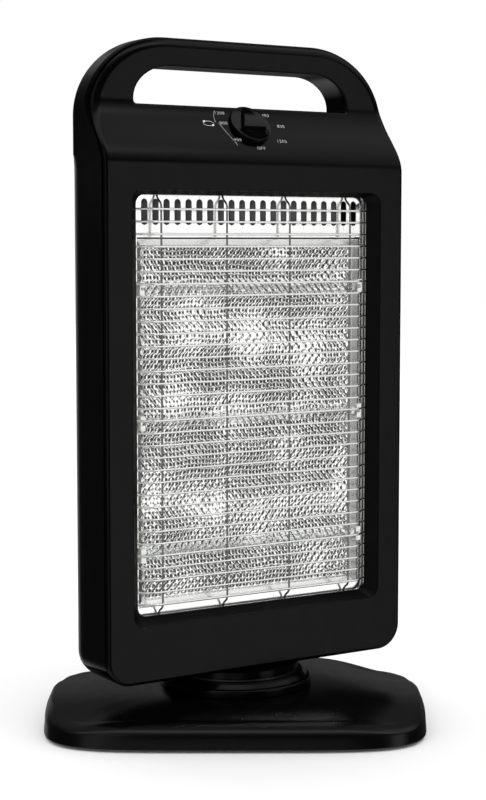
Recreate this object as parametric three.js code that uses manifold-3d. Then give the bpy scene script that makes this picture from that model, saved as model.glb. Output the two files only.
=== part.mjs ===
// Halogen heater: an upright head with a wire-guarded reflector and three lamps,
// which swings on a low domed base. Millimetres, +Z up, the head's front faces -Y.
// The origin lies on the swing axis at floor level.
import * as THREE from 'three';
import { mergeVertices } from 'three/addons/utils/BufferGeometryUtils.js';
import Module from 'manifold-3d';

const wasm = await Module();
wasm.setup();

// ---------- driving dimensions ----------
const fitGap = 0.3; // between pieces that touch or sit in each other

// head casing
const headHalfWidth = 134;
const headBottom = 45;
const headTop = 527.5;
const frontFace = 38.3; // front face ahead of the swing axis
const handleFace = 13; // front of the handle ahead of the axis
const handleBack = 16; // back of the handle behind the axis
const rearDepth = 37; // back of the rear shell behind the axis
const sideStraightBack = 2; // the flat sides end here, behind the axis
const slopeStart = 430; // the front leans back between these heights
const slopeEnd = 482;
const shoulderHeight = 439; // the rear shell's rounded step ends here
const shoulderRound = 14;
const topCornerWide = 68;
const topCornerHigh = 60;
const bottomCorner = 20;
const frontEdgeRound = 3; // along the window panel
const handleEdgeRound = 9; // along the handle
const handleRearRound = 5;
const wall = 2.6;
const panelWall = 2.8;
const seamWidth = 2.2; // shadow gap between the two shells
const lipLength = 5; // the front shell's lip runs this far into the rear shell
const lipWall = 1.3;

// handle opening
const openHalfWidth = 96;
const openBottom = 477;
const openTop = 505.6;
const openCornerWide = 32;
const openCornerHigh = 25;
const openLowerCorner = 2.5;

// window in the front shell
const windowHalfWidth = 111.4;
const windowBottom = 88.9;
const windowTop = 412.8;
const windowCorner = 9;
const rimHalfWidth = 104;
const rimBottom = 94.9;
const rimTop = 409.5;
const rimCorner = 7;
const rimDepth = 8.8; // the window's slanted wall runs this far back
const rimWall = 2.2;

// reflector
const sheet = 0.8;
const frameFront = 25.2; // slotted frame's front ahead of the axis
const frameMargin = 8; // the frame runs past the rim all round
const trayHalfWidth = 101;
const trayBottom = 100.3;
const trayTop = 378.5;
const trayDepth = 5.2;
const traySlant = 5.5;
const slotCount = 21;
const slotPitch = 9.46;
const slotWidth = 5.2;
const slotBottom = 387.4;
const slotTop = 406.5;
const shieldHalfWidth = 109;
const shieldDepth = 15;
const shieldSlotCount = 6;

// lamps
const lampCount = 3;
const lampTop = 339.6;
const lampPitch = 99.6;
const lampAhead = 24.8; // lamp axis ahead of the swing axis
const lampRadius = 4.2;
const lampWall = 1;
const filamentRadius = 1.1;
const holderInner = 96.6; // inner face of the ceramic holders
const holderThick = 4;
const holderHigh = 11;
const holderBack = 12;
const holderBore = 3;

// wire grille
const wireRadius = 0.8;
const borderRadius = 1.2;
const grilleAhead = 35.5;
const wireCount = 33;
const wireTop = 398.9;
const wirePitch = 9.22;
const bendHalfWidth = 94.6;
const uprightPlaces = [-85.2, -28.4, 28.4, 85.2];
const borderHalfWidth = 106;
const borderBottom = 92.6;
const borderTop = 411.8;
const borderAhead = 27.4;
const endAhead = 28.2; // the wires' ends lie this far ahead, behind the window's rim
const uprightBend = 6.5; // uprights bend back this far inside the window's rim

// control knob
const knobHeight = 463.5; // where the knob's axis meets the sloped panel
const knobRadius = 17.5;
const knobLift = 2.6; // the knob's disc stands this far off the panel at its axis
const knobDisc = 5;
const gripWide = 14;
const gripRise = 11.5;
const shaftRadius = 3;
const bushRadius = 4.7;
const switchWide = 26;
const switchHigh = 20;
const switchDeep = 17;

// base
const baseHalfWidth = 147.5;
const baseHalfDepth = 113;
const basePower = 5; // roundness of the base's outline
const baseRimBottom = 2;
const baseTop = 26.5;
const baseWall = 2.6;
const footHeight = 3.2;
const footRadius = 8;
const footPlaces = [[112, 78], [-112, 78], [-112, -78], [112, -78]];
const baseScrewPlaces = [[118, 0], [-118, 0], [30, 92], [-30, 92]];
const plateThick = 2;
const ballastThick = 4;
const plungerPlace = [52, 60];
const plungerRadius = 3.5;
const plungerTravel = 4;
const springTurns = 5;
const glandPlace = -70;

// swivel
const restTurn = 32; // the head stands turned this far on its base, in degrees
const seatRadius = 60;
const seatHeight = 33.5;
const seatTopRadius = 53;
const seatTop = 37.3;
const seatBore = 44;
const neckRadius = 50;
const slideRing = 1.4;
const tubeRadius = 7;
const tubeBore = 4.8;
const nutRadius = 10.5;

// swing drive
const swingHalf = 40; // the head swings this far to each side of the base's front
const crankPlace = 24; // motor shaft from the swing axis, on the head
const postPlace = 16; // fixed post from the swing axis, on the base
const meshAngle = 60; // angle between the two when the head faces forward
const pinRadius = 2;
const crankThick = 2.5;
const linkThick = 2;
const linkHalfWidth = 4;
const linkPlay = 1.7; // play of the link's slotted end round the crank pin
const motorRadius = 24.5;
const motorHeight = 17;
const motorOffset = 11.5;

// rear and vents
const ventWide = 84;
const ventHigh = 4;
const ventPitch = 9;
const upperVents = 7;
const upperVentStart = 352;
const lowerVents = 4;
const lowerVentStart = 66;
const rearScrewPlaces = [[121, 62], [-121, 62], [121, 400], [-121, 400]];
const postRadius = 4.5;
const screwRadius = 1.6;
const screwHead = 3.4;

// ---------- colours and finishes ----------
const finishes = {
  glossBlack: { color: 0x141414, roughness: 0.22, metalness: 0 },
  blackPart: { color: 0x1a1a1a, roughness: 0.5, metalness: 0 },
  mirrorSheet: { color: 0xe8e8e6, roughness: 0.15, metalness: 1 },
  plainSheet: { color: 0xb4b6b8, roughness: 0.4, metalness: 1 },
  chrome: { color: 0xd8d8d8, roughness: 0.12, metalness: 1 },
  quartz: { color: 0xf2f2f2, roughness: 0.05, metalness: 0 },
  ceramic: { color: 0xeeeae0, roughness: 0.6, metalness: 0 },
  tungsten: { color: 0x8a8780, roughness: 0.5, metalness: 1 },
  rubber: { color: 0x222222, roughness: 0.9, metalness: 0 },
  whitePlastic: { color: 0xe6e4dc, roughness: 0.5, metalness: 0 },
};

// ---------- solids ----------
function toSolid(geometry) {
  const bare = geometry.clone();
  bare.deleteAttribute('normal');
  bare.deleteAttribute('uv');
  const merged = mergeVertices(bare, 1e-3);
  return new wasm.Manifold(new wasm.Mesh({
    numProp: 3,
    vertProperties: new Float32Array(merged.attributes.position.array),
    triVerts: new Uint32Array(merged.index.array),
  }));
}

function toGeometry(solid) {
  const mesh = solid.getMesh();
  const geometry = new THREE.BufferGeometry();
  geometry.setAttribute('position', new THREE.BufferAttribute(new Float32Array(mesh.vertProperties), 3));
  geometry.setIndex(new THREE.BufferAttribute(new Uint32Array(mesh.triVerts), 1));
  geometry.computeVertexNormals();
  return geometry;
}

const joinAll = (solids) => solids.reduce((sum, solid) => sum.add(solid));
const cutAll = (solid, cutters) => cutters.reduce((rest, cutter) => rest.subtract(cutter), solid);

function block(x0, x1, y0, y1, z0, z1) {
  const geometry = new THREE.BoxGeometry(x1 - x0, y1 - y0, z1 - z0);
  geometry.translate((x0 + x1) / 2, (y0 + y1) / 2, (z0 + z1) / 2);
  return toSolid(geometry);
}

function extrude(shape, length, curveSegments = 6) {
  return new THREE.ExtrudeGeometry(shape, { depth: length, bevelEnabled: false, curveSegments });
}

// a shape drawn in x and z, running from y0 to y1
function prismY(shape, y0, y1, curveSegments) {
  const geometry = extrude(shape, y1 - y0, curveSegments);
  geometry.rotateX(Math.PI / 2);
  geometry.translate(0, y1, 0);
  return toSolid(geometry);
}

// a shape drawn in x and y, running from z0 to z1
function prismZ(shape, z0, z1, curveSegments) {
  const geometry = extrude(shape, z1 - z0, curveSegments);
  geometry.translate(0, 0, z0);
  return toSolid(geometry);
}

// a shape drawn in y and z, running from x0 to x1
function prismX(shape, x0, x1) {
  const geometry = extrude(shape, x1 - x0);
  const turn = new THREE.Matrix4().makeBasis(
    new THREE.Vector3(0, 1, 0), new THREE.Vector3(0, 0, 1), new THREE.Vector3(1, 0, 0));
  geometry.applyMatrix4(turn);
  geometry.translate(x0, 0, 0);
  return toSolid(geometry);
}

// a rod along Z, or a ring where inner is given
function rod(radius, z0, z1, inner = 0, sides = 20) {
  const profile = inner > 0
    ? [[inner, z0], [radius, z0], [radius, z1], [inner, z1], [inner, z0]]
    : [[0, z0], [radius, z0], [radius, z1], [0, z1]];
  return turned(profile, sides);
}

function turned(profile, sides = 32) {
  const geometry = new THREE.LatheGeometry(profile.map(([r, z]) => new THREE.Vector2(r, z)), sides);
  geometry.rotateX(Math.PI / 2);
  return toSolid(geometry);
}

const rodY = (radius, y0, y1, x, z, inner, sides) =>
  rod(radius, -y1, -y0, inner, sides).rotate([90, 0, 0]).translate([x, 0, z]);
const rodX = (radius, x0, x1, y, z, inner, sides) =>
  rod(radius, x0, x1, inner, sides).rotate([0, 90, 0]).translate([0, y, z]);

// rings of points, each a closed loop counter-clockwise from above, joined upwards
function loft(rings) {
  const count = rings[0].length;
  const positions = rings.flat(2);
  const triangles = [];
  for (let i = 0; i + 1 < rings.length; i++) {
    for (let j = 0; j < count; j++) {
      const a = i * count + j;
      const b = i * count + (j + 1) % count;
      triangles.push(a, b, b + count, a, b + count, a + count);
    }
  }
  const top = (rings.length - 1) * count;
  for (let j = 1; j + 1 < count; j++) {
    triangles.push(0, j + 1, j, top, top + j, top + j + 1);
  }
  const geometry = new THREE.BufferGeometry();
  geometry.setAttribute('position', new THREE.Float32BufferAttribute(positions, 3));
  geometry.setIndex(triangles);
  return toSolid(geometry);
}

// a wire along points that lie in one plane; a closed wire joins its last point to its first
function wire(points, planeNormal, radius, sides, closed = false) {
  const path = points.map((p) => new THREE.Vector3(...p));
  const normal = new THREE.Vector3(...planeNormal);
  const last = path.length - 1;
  const positions = [];
  path.forEach((point, i) => {
    const before = path[i === 0 ? (closed ? last : 0) : i - 1];
    const after = path[i === last ? (closed ? 0 : last) : i + 1];
    const inward = i === 0 && !closed ? after.clone().sub(point) : point.clone().sub(before);
    const outward = i === last && !closed ? inward.clone() : after.clone().sub(point);
    inward.normalize();
    outward.normalize();
    const along = inward.clone().add(outward).normalize();
    const mitre = 1 / Math.sqrt((1 + inward.dot(outward)) / 2);
    const side = new THREE.Vector3().crossVectors(normal, along).normalize();
    for (let k = 0; k < sides; k++) {
      const angle = ((k + 0.5) / sides) * 2 * Math.PI;
      const spot = point.clone()
        .addScaledVector(side, radius * mitre * Math.cos(angle))
        .addScaledVector(normal, radius * Math.sin(angle));
      positions.push(spot.x, spot.y, spot.z);
    }
  });
  const triangles = [];
  const spans = closed ? path.length : last;
  for (let i = 0; i < spans; i++) {
    for (let k = 0; k < sides; k++) {
      const a = i * sides + k;
      const b = i * sides + (k + 1) % sides;
      const c = ((i + 1) % path.length) * sides + (k + 1) % sides;
      const d = ((i + 1) % path.length) * sides + k;
      triangles.push(a, b, c, a, c, d);
    }
  }
  if (!closed) {
    for (let k = 1; k + 1 < sides; k++) {
      triangles.push(0, k + 1, k, last * sides, last * sides + k, last * sides + k + 1);
    }
  }
  const geometry = new THREE.BufferGeometry();
  geometry.setAttribute('position', new THREE.Float32BufferAttribute(positions, 3));
  geometry.setIndex(triangles);
  return toSolid(geometry);
}

// an upright rectangle with rounded upper and lower corners, drawn in x and z
function roundedRect(halfWidth, low, high, upper, lower = upper, upperWide = upper) {
  const shape = new THREE.Shape();
  const side = halfWidth - upperWide;
  shape.moveTo(-halfWidth + lower, low);
  shape.lineTo(halfWidth - lower, low);
  shape.absarc(halfWidth - lower, low + lower, lower, -Math.PI / 2, 0, false);
  shape.lineTo(halfWidth, high - upper);
  shape.absellipse(side, high - upper, upperWide, upper, 0, Math.PI / 2, false, 0);
  shape.lineTo(-side, high);
  shape.absellipse(-side, high - upper, upperWide, upper, Math.PI / 2, Math.PI, false, 0);
  shape.lineTo(-halfWidth, low + lower);
  shape.absarc(-halfWidth + lower, low + lower, lower, Math.PI, 1.5 * Math.PI, false);
  return shape;
}

function polygon(points) {
  return new THREE.Shape(points.map(([x, y]) => new THREE.Vector2(x, y)));
}

// ---------- head form ----------
const smooth = (t) => t * t * (3 - 2 * t);
const clamp01 = (t) => Math.min(1, Math.max(0, t));
const slopeShare = (z) => smooth(clamp01((z - slopeStart) / (slopeEnd - slopeStart)));
const frontY = (z) => -frontFace + (frontFace - handleFace) * slopeShare(z);

// how far a rounded edge has drawn back at a distance from the edge
function roundBack(radius, distance) {
  if (distance >= radius || radius <= 0) return 0;
  return radius - Math.sqrt(radius * radius - (radius - Math.max(0, distance)) ** 2);
}

function backY(z) {
  const start = shoulderHeight - shoulderRound;
  if (z <= start) return rearDepth;
  const share = clamp01((z - start) / shoulderRound);
  return handleBack + (rearDepth - handleBack) * Math.sqrt(1 - share * share);
}

function headHalf(z, inset) {
  const low = headBottom + inset;
  const high = headTop - inset;
  const half = headHalfWidth - inset;
  const lower = Math.max(1, bottomCorner - inset);
  const wide = topCornerWide - inset;
  const tall = topCornerHigh - inset;
  if (z < low + lower) return half - roundBack(lower, Math.max(0, z - low));
  if (z > high - tall) return half - wide + wide * Math.sqrt(Math.max(0, 1 - ((z - high + tall) / tall) ** 2));
  return half;
}

const slopeSteps = 9;
const slopeLevels = Array.from({ length: slopeSteps + 1 },
  (_, i) => slopeStart + ((slopeEnd - slopeStart) * i) / slopeSteps);

function headLevels(inset) {
  const low = headBottom + inset;
  const high = headTop - inset;
  const lower = Math.max(1, bottomCorner - inset);
  const tall = topCornerHigh - inset;
  const levels = new Set(slopeLevels);
  for (const angle of [0, 10, 20, 32, 45, 60, 75, 90]) {
    levels.add(low + lower * (1 - Math.cos((angle * Math.PI) / 180)));
  }
  for (const angle of [0, 15, 30, 40, 50, 60, 68, 75, 82, 90]) {
    levels.add(high - tall + tall * Math.sin((angle * Math.PI) / 180));
  }
  for (const share of [0, 0.5, 0.8, 0.95, 1]) {
    levels.add(shoulderHeight - shoulderRound * (1 - share));
  }
  const sorted = [...levels].sort((a, b) => a - b);
  return sorted.filter((z, i) => i === 0 || z - sorted[i - 1] > 0.05);
}

function headSection(z, inset) {
  const half = headHalf(z, inset);
  const frontRound = Math.max(0.8, frontEdgeRound + (handleEdgeRound - frontEdgeRound) * slopeShare(z) - inset);
  const bulge = (backY(z) - handleBack) / (rearDepth - handleBack);
  const bigRound = rearDepth - sideStraightBack;
  const rearRound = Math.max(1, handleRearRound + (bigRound - handleRearRound) * bulge - inset);
  const fromTop = headTop - inset - z;
  const fromBottom = z - headBottom - inset;
  const front = frontY(z) + inset + roundBack(Math.max(0.8, handleEdgeRound - inset), fromTop)
    + roundBack(Math.max(0.8, frontEdgeRound - inset), fromBottom);
  const back = backY(z) - inset - roundBack(Math.max(0.8, handleRearRound + 2 - inset), fromTop)
    - roundBack(Math.max(0.8, frontEdgeRound - inset), fromBottom);
  const points = [];
  const corner = (x, y, radius, start, steps, sign) => {
    for (let i = 0; i <= steps; i++) {
      const angle = start + ((Math.PI / 2) * i) / steps;
      points.push([x + sign * radius * Math.abs(Math.cos(angle)), y + radius * Math.sin(angle), z]);
    }
  };
  const fr = Math.min(frontRound, (back - front) / 2.2);
  const rr = Math.min(rearRound, (back - front) / 1.9);
  corner(half - fr, front + fr, fr, -Math.PI / 2, 3, 1);
  corner(half - rr, back - rr, rr, 0, 5, 1);
  corner(-half + rr, back - rr, rr, Math.PI / 2, 5, -1);
  corner(-half + fr, front + fr, fr, Math.PI, 3, -1);
  return points;
}

const headForm = (inset) => loft(headLevels(inset).map((z) => headSection(z, inset)));

// everything between two offsets behind the front surface
function frontBand(near, far) {
  const levels = [headBottom - 20, ...slopeLevels, headTop + 20];
  const ahead = levels.map((z) => [frontY(z) + near, z]);
  const behind = levels.map((z) => [frontY(z) + far, z]).reverse();
  return prismX(polygon([...ahead, ...behind]), -headHalfWidth - 20, headHalfWidth + 20);
}

// a rectangle ring loft from the window's front edge to its rim, grown by margin
function windowFunnel(margin, ahead, behind) {
  const total = rimDepth;
  const ringAt = (distance) => {
    const share = distance / total;
    const mix = (a, b) => a + (b - a) * share;
    const shape = roundedRect(mix(windowHalfWidth, rimHalfWidth) + margin,
      mix(windowBottom, rimBottom) - margin, mix(windowTop, rimTop) + margin,
      mix(windowCorner, rimCorner) + margin);
    return shape.getPoints(5).map((p) => [p.x, -frontFace + distance, p.y]);
  };
  return loft([dropRepeats(ringAt(-ahead)), dropRepeats(ringAt(total + behind))]);
}

function dropRepeats(points) {
  return points.filter((p, i) => {
    const q = points[(i + 1) % points.length];
    return Math.hypot(p[0] - q[0], p[1] - q[1], p[2] - q[2]) > 1e-4;
  }).reverse();
}

const openShape = (margin) => roundedRect(openHalfWidth + margin, openBottom - margin, openTop + margin,
  openCornerHigh + margin, openLowerCorner, openCornerWide + margin);

const panelSlope = 6 * ((knobHeight - slopeStart) / (slopeEnd - slopeStart))
  * ((slopeEnd - knobHeight) / (slopeEnd - slopeStart)) * ((frontFace - handleFace) / (slopeEnd - slopeStart));
const panelTilt = Math.PI / 2 - Math.atan(panelSlope);
const onPanel = (solid) => solid.rotate([(panelTilt * 180) / Math.PI, 0, 0])
  .translate([0, frontY(knobHeight), knobHeight]);

// ---------- swing drive geometry ----------
const degrees = Math.PI / 180;
const spanAt = (turn) => Math.sqrt(crankPlace ** 2 + postPlace ** 2
  - 2 * crankPlace * postPlace * Math.cos((meshAngle + turn) * degrees));
const linkLength = (spanAt(swingHalf) + spanAt(-swingHalf)) / 2;
const crankRadius = (spanAt(swingHalf) - spanAt(-swingHalf)) / 2;
const postAngle = -(meshAngle + restTurn) * degrees;
const post = [postPlace * Math.cos(postAngle), postPlace * Math.sin(postAngle)];
const crankPin = (() => {
  const span = spanAt(restTurn);
  const along = (linkLength ** 2 - crankRadius ** 2 + span ** 2) / (2 * span);
  const across = Math.sqrt(linkLength ** 2 - along ** 2);
  const ux = (crankPlace - post[0]) / span;
  const uy = -post[1] / span;
  return [post[0] + ux * along + uy * across, post[1] + uy * along - ux * across];
})();

// ---------- scene ----------
const heater = new THREE.Group();
const head = new THREE.Group();
const base = new THREE.Group();
heater.add(head, base);
base.rotation.z = -restTurn * degrees;

function add(group, name, solid, finish) {
  const mesh = new THREE.Mesh(toGeometry(solid), new THREE.MeshStandardMaterial(finishes[finish]));
  mesh.name = name;
  group.add(mesh);
}

// ---------- casing ----------
function screwPost(x, z, y0, y1, bore) {
  return { solid: rodY(postRadius, y0, y1, x, z, 0, 12), bore: rodY(bore, y1 - 14, y1 + 1, x, z, 0, 8) };
}

const postEnd = 8;

function frontShell() {
  const outer = headForm(0);
  const plate = outer.intersect(frontBand(-30, panelWall));
  const lip = headForm(lipWall + 0.1).subtract(headForm(2 * lipWall + 0.1))
    .intersect(frontBand(panelWall - 0.2, panelWall + seamWidth + lipLength));
  const funnelWall = windowFunnel(rimWall, -1, 0);
  const posts = rearScrewPlaces.map(([x, z]) => screwPost(x, z, -frontFace + 1, postEnd, screwRadius + fitGap));
  let shell = joinAll([plate, lip, funnelWall, ...posts.map((p) => p.solid)]);
  shell = cutAll(shell, [windowFunnel(0, 5, 5), prismY(openShape(0), -60, 60), ...posts.map((p) => p.bore)]);
  return shell.subtract(onPanel(rod(bushRadius + fitGap, -10, 10)));
}

function rearVents() {
  const vents = [];
  for (const side of [-1, 1]) {
    const middle = side * (ventWide / 2 + 6);
    for (let row = 0; row < upperVents + lowerVents; row++) {
      const upper = row < upperVents;
      const z = upper ? upperVentStart + row * ventPitch : lowerVentStart + (row - upperVents) * ventPitch;
      vents.push(block(middle - ventWide / 2, middle + ventWide / 2, 20, 60, z, z + ventHigh));
    }
  }
  return vents;
}

function rearShell() {
  const outer = headForm(0);
  let shell = outer.subtract(headForm(wall)).intersect(frontBand(panelWall + seamWidth, 300));
  const lipRoom = headForm(lipWall + 0.1 - fitGap)
    .intersect(frontBand(panelWall, panelWall + seamWidth + lipLength + fitGap));
  shell = shell.subtract(lipRoom);
  const openWall = prismY(openShape(panelWall), -60, 60).intersect(outer)
    .intersect(frontBand(panelWall + fitGap, 300));
  const bosses = rearScrewPlaces.map(([x, z]) => rodY(postRadius + 0.5, postEnd + fitGap, 60, x, z, 0, 12));
  shell = joinAll([shell, openWall, ...bosses.map((boss) => boss.intersect(outer))]);
  const screwHoles = rearScrewPlaces.flatMap(([x, z]) => [
    rodY(screwRadius + fitGap, 0, 60, x, z, 0, 8), rodY(screwHead + fitGap, postEnd + 6, 60, x, z, 0, 12)]);
  const pivotHole = rod(tubeRadius + fitGap, headBottom - 5, headBottom + 10);
  const shaftHole = rod(shaftRadius + 1, headBottom - 5, headBottom + 10).translate([crankPlace, 0, 0]);
  return cutAll(shell, [prismY(openShape(0), -60, 60), ...rearVents(), ...screwHoles, pivotHole, shaftHole]);
}

add(head, 'front_shell', frontShell(), 'glossBlack');
add(head, 'rear_shell', rearShell(), 'glossBlack');
rearScrewPlaces.forEach(([x, z], i) => {
  const headSeat = postEnd + 6 + fitGap;
  const screw = rodY(screwHead, headSeat, headSeat + 2.4, x, z, 0, 12)
    .add(rodY(screwRadius, postEnd - 12, headSeat + 0.5, x, z, 0, 8));
  add(head, `rear_screw_${i + 1}`, screw, 'plainSheet');
});

// ---------- reflector ----------
function reflectorFrame() {
  const y0 = -frameFront;
  const outline = roundedRect(rimHalfWidth + frameMargin, rimBottom - frameMargin, rimTop + frameMargin, 4);
  let frame = prismY(outline, y0, y0 + sheet, 2);
  frame = frame.subtract(block(-trayHalfWidth, trayHalfWidth, y0 - 5, y0 + 5, trayBottom, trayTop));
  const slots = [];
  for (let i = 0; i < slotCount; i++) {
    const x = (i - (slotCount - 1) / 2) * slotPitch;
    const shape = roundedRect(slotWidth / 2, slotBottom, slotTop, slotWidth / 2 - 0.01);
    slots.push(prismY(shape, y0 - 5, y0 + 5, 2).translate([x, 0, 0]));
  }
  return cutAll(frame, [...slots, rodY(screwRadius + fitGap, y0 - 5, y0 + 5, ...frameScrew, 0, 8)]);
}

// a rectangular frustum, wide at the front, that narrows by the slant over the tray's depth
function trayFunnel(margin, ahead) {
  const y0 = -frameFront + sheet;
  const slant = traySlant / trayDepth;
  const rect = (y) => {
    const grow = margin - (y - y0) * slant;
    return [[trayHalfWidth + grow, y, trayBottom - grow], [-trayHalfWidth - grow, y, trayBottom - grow],
      [-trayHalfWidth - grow, y, trayTop + grow], [trayHalfWidth + grow, y, trayTop + grow]];
  };
  return loft([rect(y0 - ahead), rect(y0 + trayDepth + margin)]);
}

function reflectorPan() {
  const y0 = -frameFront + sheet + fitGap;
  const flange = block(-trayHalfWidth - 6, trayHalfWidth + 6, y0, y0 + sheet, trayBottom - 4, trayTop + 6);
  let pan = flange.add(trayFunnel(sheet, -fitGap)).subtract(trayFunnel(0, 3));
  for (let i = 0; i < lampCount; i++) {
    const z = lampTop - i * lampPitch;
    for (const side of [-1, 1]) {
      const near = holderInner - fitGap;
      const far = holderInner + holderThick + fitGap;
      const x0 = side > 0 ? near : -far;
      pan = pan.subtract(block(x0, x0 + far - near, y0 - 5, y0 + 10,
        z - holderHigh / 2 - fitGap, z + holderHigh / 2 + fitGap));
    }
  }
  return pan;
}

const frameScrew = [100.6, 402.4];
const shieldFront = -frameFront + sheet + fitGap;

function heatShield() {
  const low = rimBottom - 2;
  const high = slotTop + 6;
  const back = shieldFront + shieldDepth;
  const outside = block(-shieldHalfWidth, shieldHalfWidth, shieldFront, back, low, high);
  const inside = block(-shieldHalfWidth + sheet, shieldHalfWidth - sheet, shieldFront - 5, back - sheet,
    low + sheet, high - sheet);
  const slots = [];
  for (let i = 0; i < shieldSlotCount; i++) {
    const x = (i - (shieldSlotCount - 1) / 2) * 32;
    slots.push(block(x - 11, x + 11, back - 5, back + 5, high - 14, high - 8));
    slots.push(block(x - 11, x + 11, back - 5, back + 5, low + 8, low + 14));
  }
  return cutAll(outside.subtract(inside), slots);
}

function holderBracket(side) {
  const back = shieldFront + shieldDepth - sheet - fitGap;
  const inner = holderInner - 3;
  const outer = holderInner + holderThick + 3;
  const low = lampTop - (lampCount - 1) * lampPitch - 12;
  const channel = block(side > 0 ? inner : -outer, side > 0 ? outer : -inner, -holderBack + fitGap, back,
    low, lampTop + 12);
  return channel;
}

add(head, 'reflector_frame', reflectorFrame(), 'mirrorSheet');
add(head, 'reflector_pan', reflectorPan(), 'mirrorSheet');
add(head, 'heat_shield', heatShield(), 'plainSheet');
add(head, 'holder_bracket_left', holderBracket(-1), 'plainSheet');
add(head, 'holder_bracket_right', holderBracket(1), 'plainSheet');
add(head, 'reflector_screw', rodY(2.9, -frameFront - fitGap - 1.4, -frameFront - fitGap, ...frameScrew, 0, 14)
  .add(rodY(screwRadius, -frameFront - 1, -frameFront + 7, ...frameScrew, 0, 8)), 'chrome');

// ---------- lamps ----------
for (let i = 0; i < lampCount; i++) {
  const z = lampTop - i * lampPitch;
  const tubeEnd = holderInner + holderBore - fitGap;
  add(head, `halogen_tube_${i + 1}`,
    rodX(lampRadius, -tubeEnd, tubeEnd, -lampAhead, z, lampRadius - lampWall, 16), 'quartz');
  add(head, `filament_${i + 1}`, rodX(filamentRadius, -tubeEnd, tubeEnd, -lampAhead, z, 0, 6), 'tungsten');
  for (const [side, word] of [[-1, 'left'], [1, 'right']]) {
    const x0 = side > 0 ? holderInner : -holderInner - holderThick;
    const body = block(x0, x0 + holderThick, -lampAhead - lampRadius, -holderBack,
      z - holderHigh / 2, z + holderHigh / 2);
    const boreFrom = side > 0 ? holderInner - 1 : -holderInner - holderBore;
    const bore = rodX(lampRadius + fitGap, boreFrom, boreFrom + holderBore + 1, -lampAhead, z, 0, 16);
    add(head, `tube_holder_${word}_${i + 1}`, body.subtract(bore), 'ceramic');
  }
}

// ---------- wire grille ----------
function wireGrille() {
  const wires = [];
  const y = -grilleAhead;
  const deep = -borderAhead;
  const reach = borderHalfWidth;
  const squareRadius = wireRadius * 1.2; // four-sided wires of nearly the round wire's area
  for (let i = 0; i < wireCount; i++) {
    const z = wireTop - i * wirePitch;
    wires.push(wire([[-reach, -endAhead, z], [-rimHalfWidth + 1, -endAhead, z], [-bendHalfWidth, y, z],
      [bendHalfWidth, y, z], [rimHalfWidth - 1, -endAhead, z], [reach, -endAhead, z]],
    [0, 0, 1], squareRadius, 4));
  }
  const behind = y + 2 * squareRadius * Math.SQRT1_2 - 0.15;
  for (const x of uprightPlaces) {
    wires.push(wire([[x, deep, borderBottom], [x, deep, rimBottom + 2], [x, behind, rimBottom + uprightBend],
      [x, behind, rimTop - uprightBend], [x, deep, rimTop - 2], [x, deep, borderTop]], [1, 0, 0],
    squareRadius, 4));
  }
  const loop = roundedRect(borderHalfWidth, borderBottom, borderTop, rimCorner).getPoints(3)
    .map((p) => [p.x, deep, p.y]);
  wires.push(wire(dropRepeats(loop), [0, 1, 0], borderRadius, 6, true));
  return wasm.Manifold.union(wires);
}

add(head, 'wire_grille', wireGrille(), 'chrome');

// ---------- control knob and switch ----------
function controlKnob() {
  const skirt = turned([[0, knobLift], [knobRadius, knobLift], [knobRadius, knobDisc - 1],
    [knobRadius - 1, knobDisc], [0, knobDisc]], 36);
  const half = gripWide / 2;
  const reach = knobRadius - 0.6;
  const outline = new THREE.Shape();
  outline.moveTo(-half, -reach + half);
  outline.absarc(0, -reach + half, half, Math.PI, 2 * Math.PI, false);
  outline.lineTo(half, reach - half);
  outline.absarc(0, reach - half, half, 0, Math.PI, false);
  const lowRing = outline.getPoints(8).map((p) => [p.x, p.y, knobDisc - 1]);
  const highRing = outline.getPoints(8).map((p) => [p.x * 0.72, p.y * 0.9, knobDisc + gripRise]);
  const grip = loft([dropRepeats(lowRing).reverse(), dropRepeats(highRing).reverse()]);
  const shaft = rod(shaftRadius, -9, knobLift + 1);
  return onPanel(joinAll([skirt, grip, shaft]));
}

function rotarySwitch() {
  const front = -panelWall / Math.cos(Math.atan(panelSlope)) - 0.6;
  const body = block(-switchWide / 2, switchWide / 2, -switchHigh / 2 - 2, switchHigh / 2 - 2,
    front - switchDeep, front);
  const bush = rod(bushRadius, front - 0.5, -fitGap);
  const bore = rod(shaftRadius + fitGap, -9 - fitGap, 1);
  return onPanel(body.add(bush).subtract(bore));
}

add(head, 'control_knob', controlKnob(), 'blackPart');
add(head, 'rotary_switch', rotarySwitch(), 'whitePlastic');

// ---------- swivel and swing drive on the head ----------
const ringTop = seatTop + fitGap + slideRing;
const neckBottom = ringTop + fitGap;
const neckTop = headBottom - fitGap;
const crankTop = neckBottom + 1.2;

function neckCollar() {
  const roof = neckTop - 2.2;
  const collar = turned([[tubeRadius + fitGap, roof], [neckRadius - 4, roof], [neckRadius - 4, neckBottom],
    [neckRadius, neckBottom], [neckRadius, neckTop], [tubeRadius + fitGap, neckTop],
    [tubeRadius + fitGap, roof]], 40);
  return collar.subtract(rod(shaftRadius + 1, roof - 2, neckTop + 2).translate([crankPlace, 0, 0]));
}

function swingMotor() {
  const low = headBottom + wall + fitGap;
  const can = rod(motorRadius, low, low + motorHeight, 0, 28).translate([crankPlace + motorOffset, 0, 0]);
  const boss = rod(shaftRadius + 2.5, low + 0.5, low + 2, 0, 16).translate([crankPlace, 0, 0]);
  return can.add(boss).subtract(rod(shaftRadius + fitGap, low - 1, low + 8).translate([crankPlace, 0, 0]));
}

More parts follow.
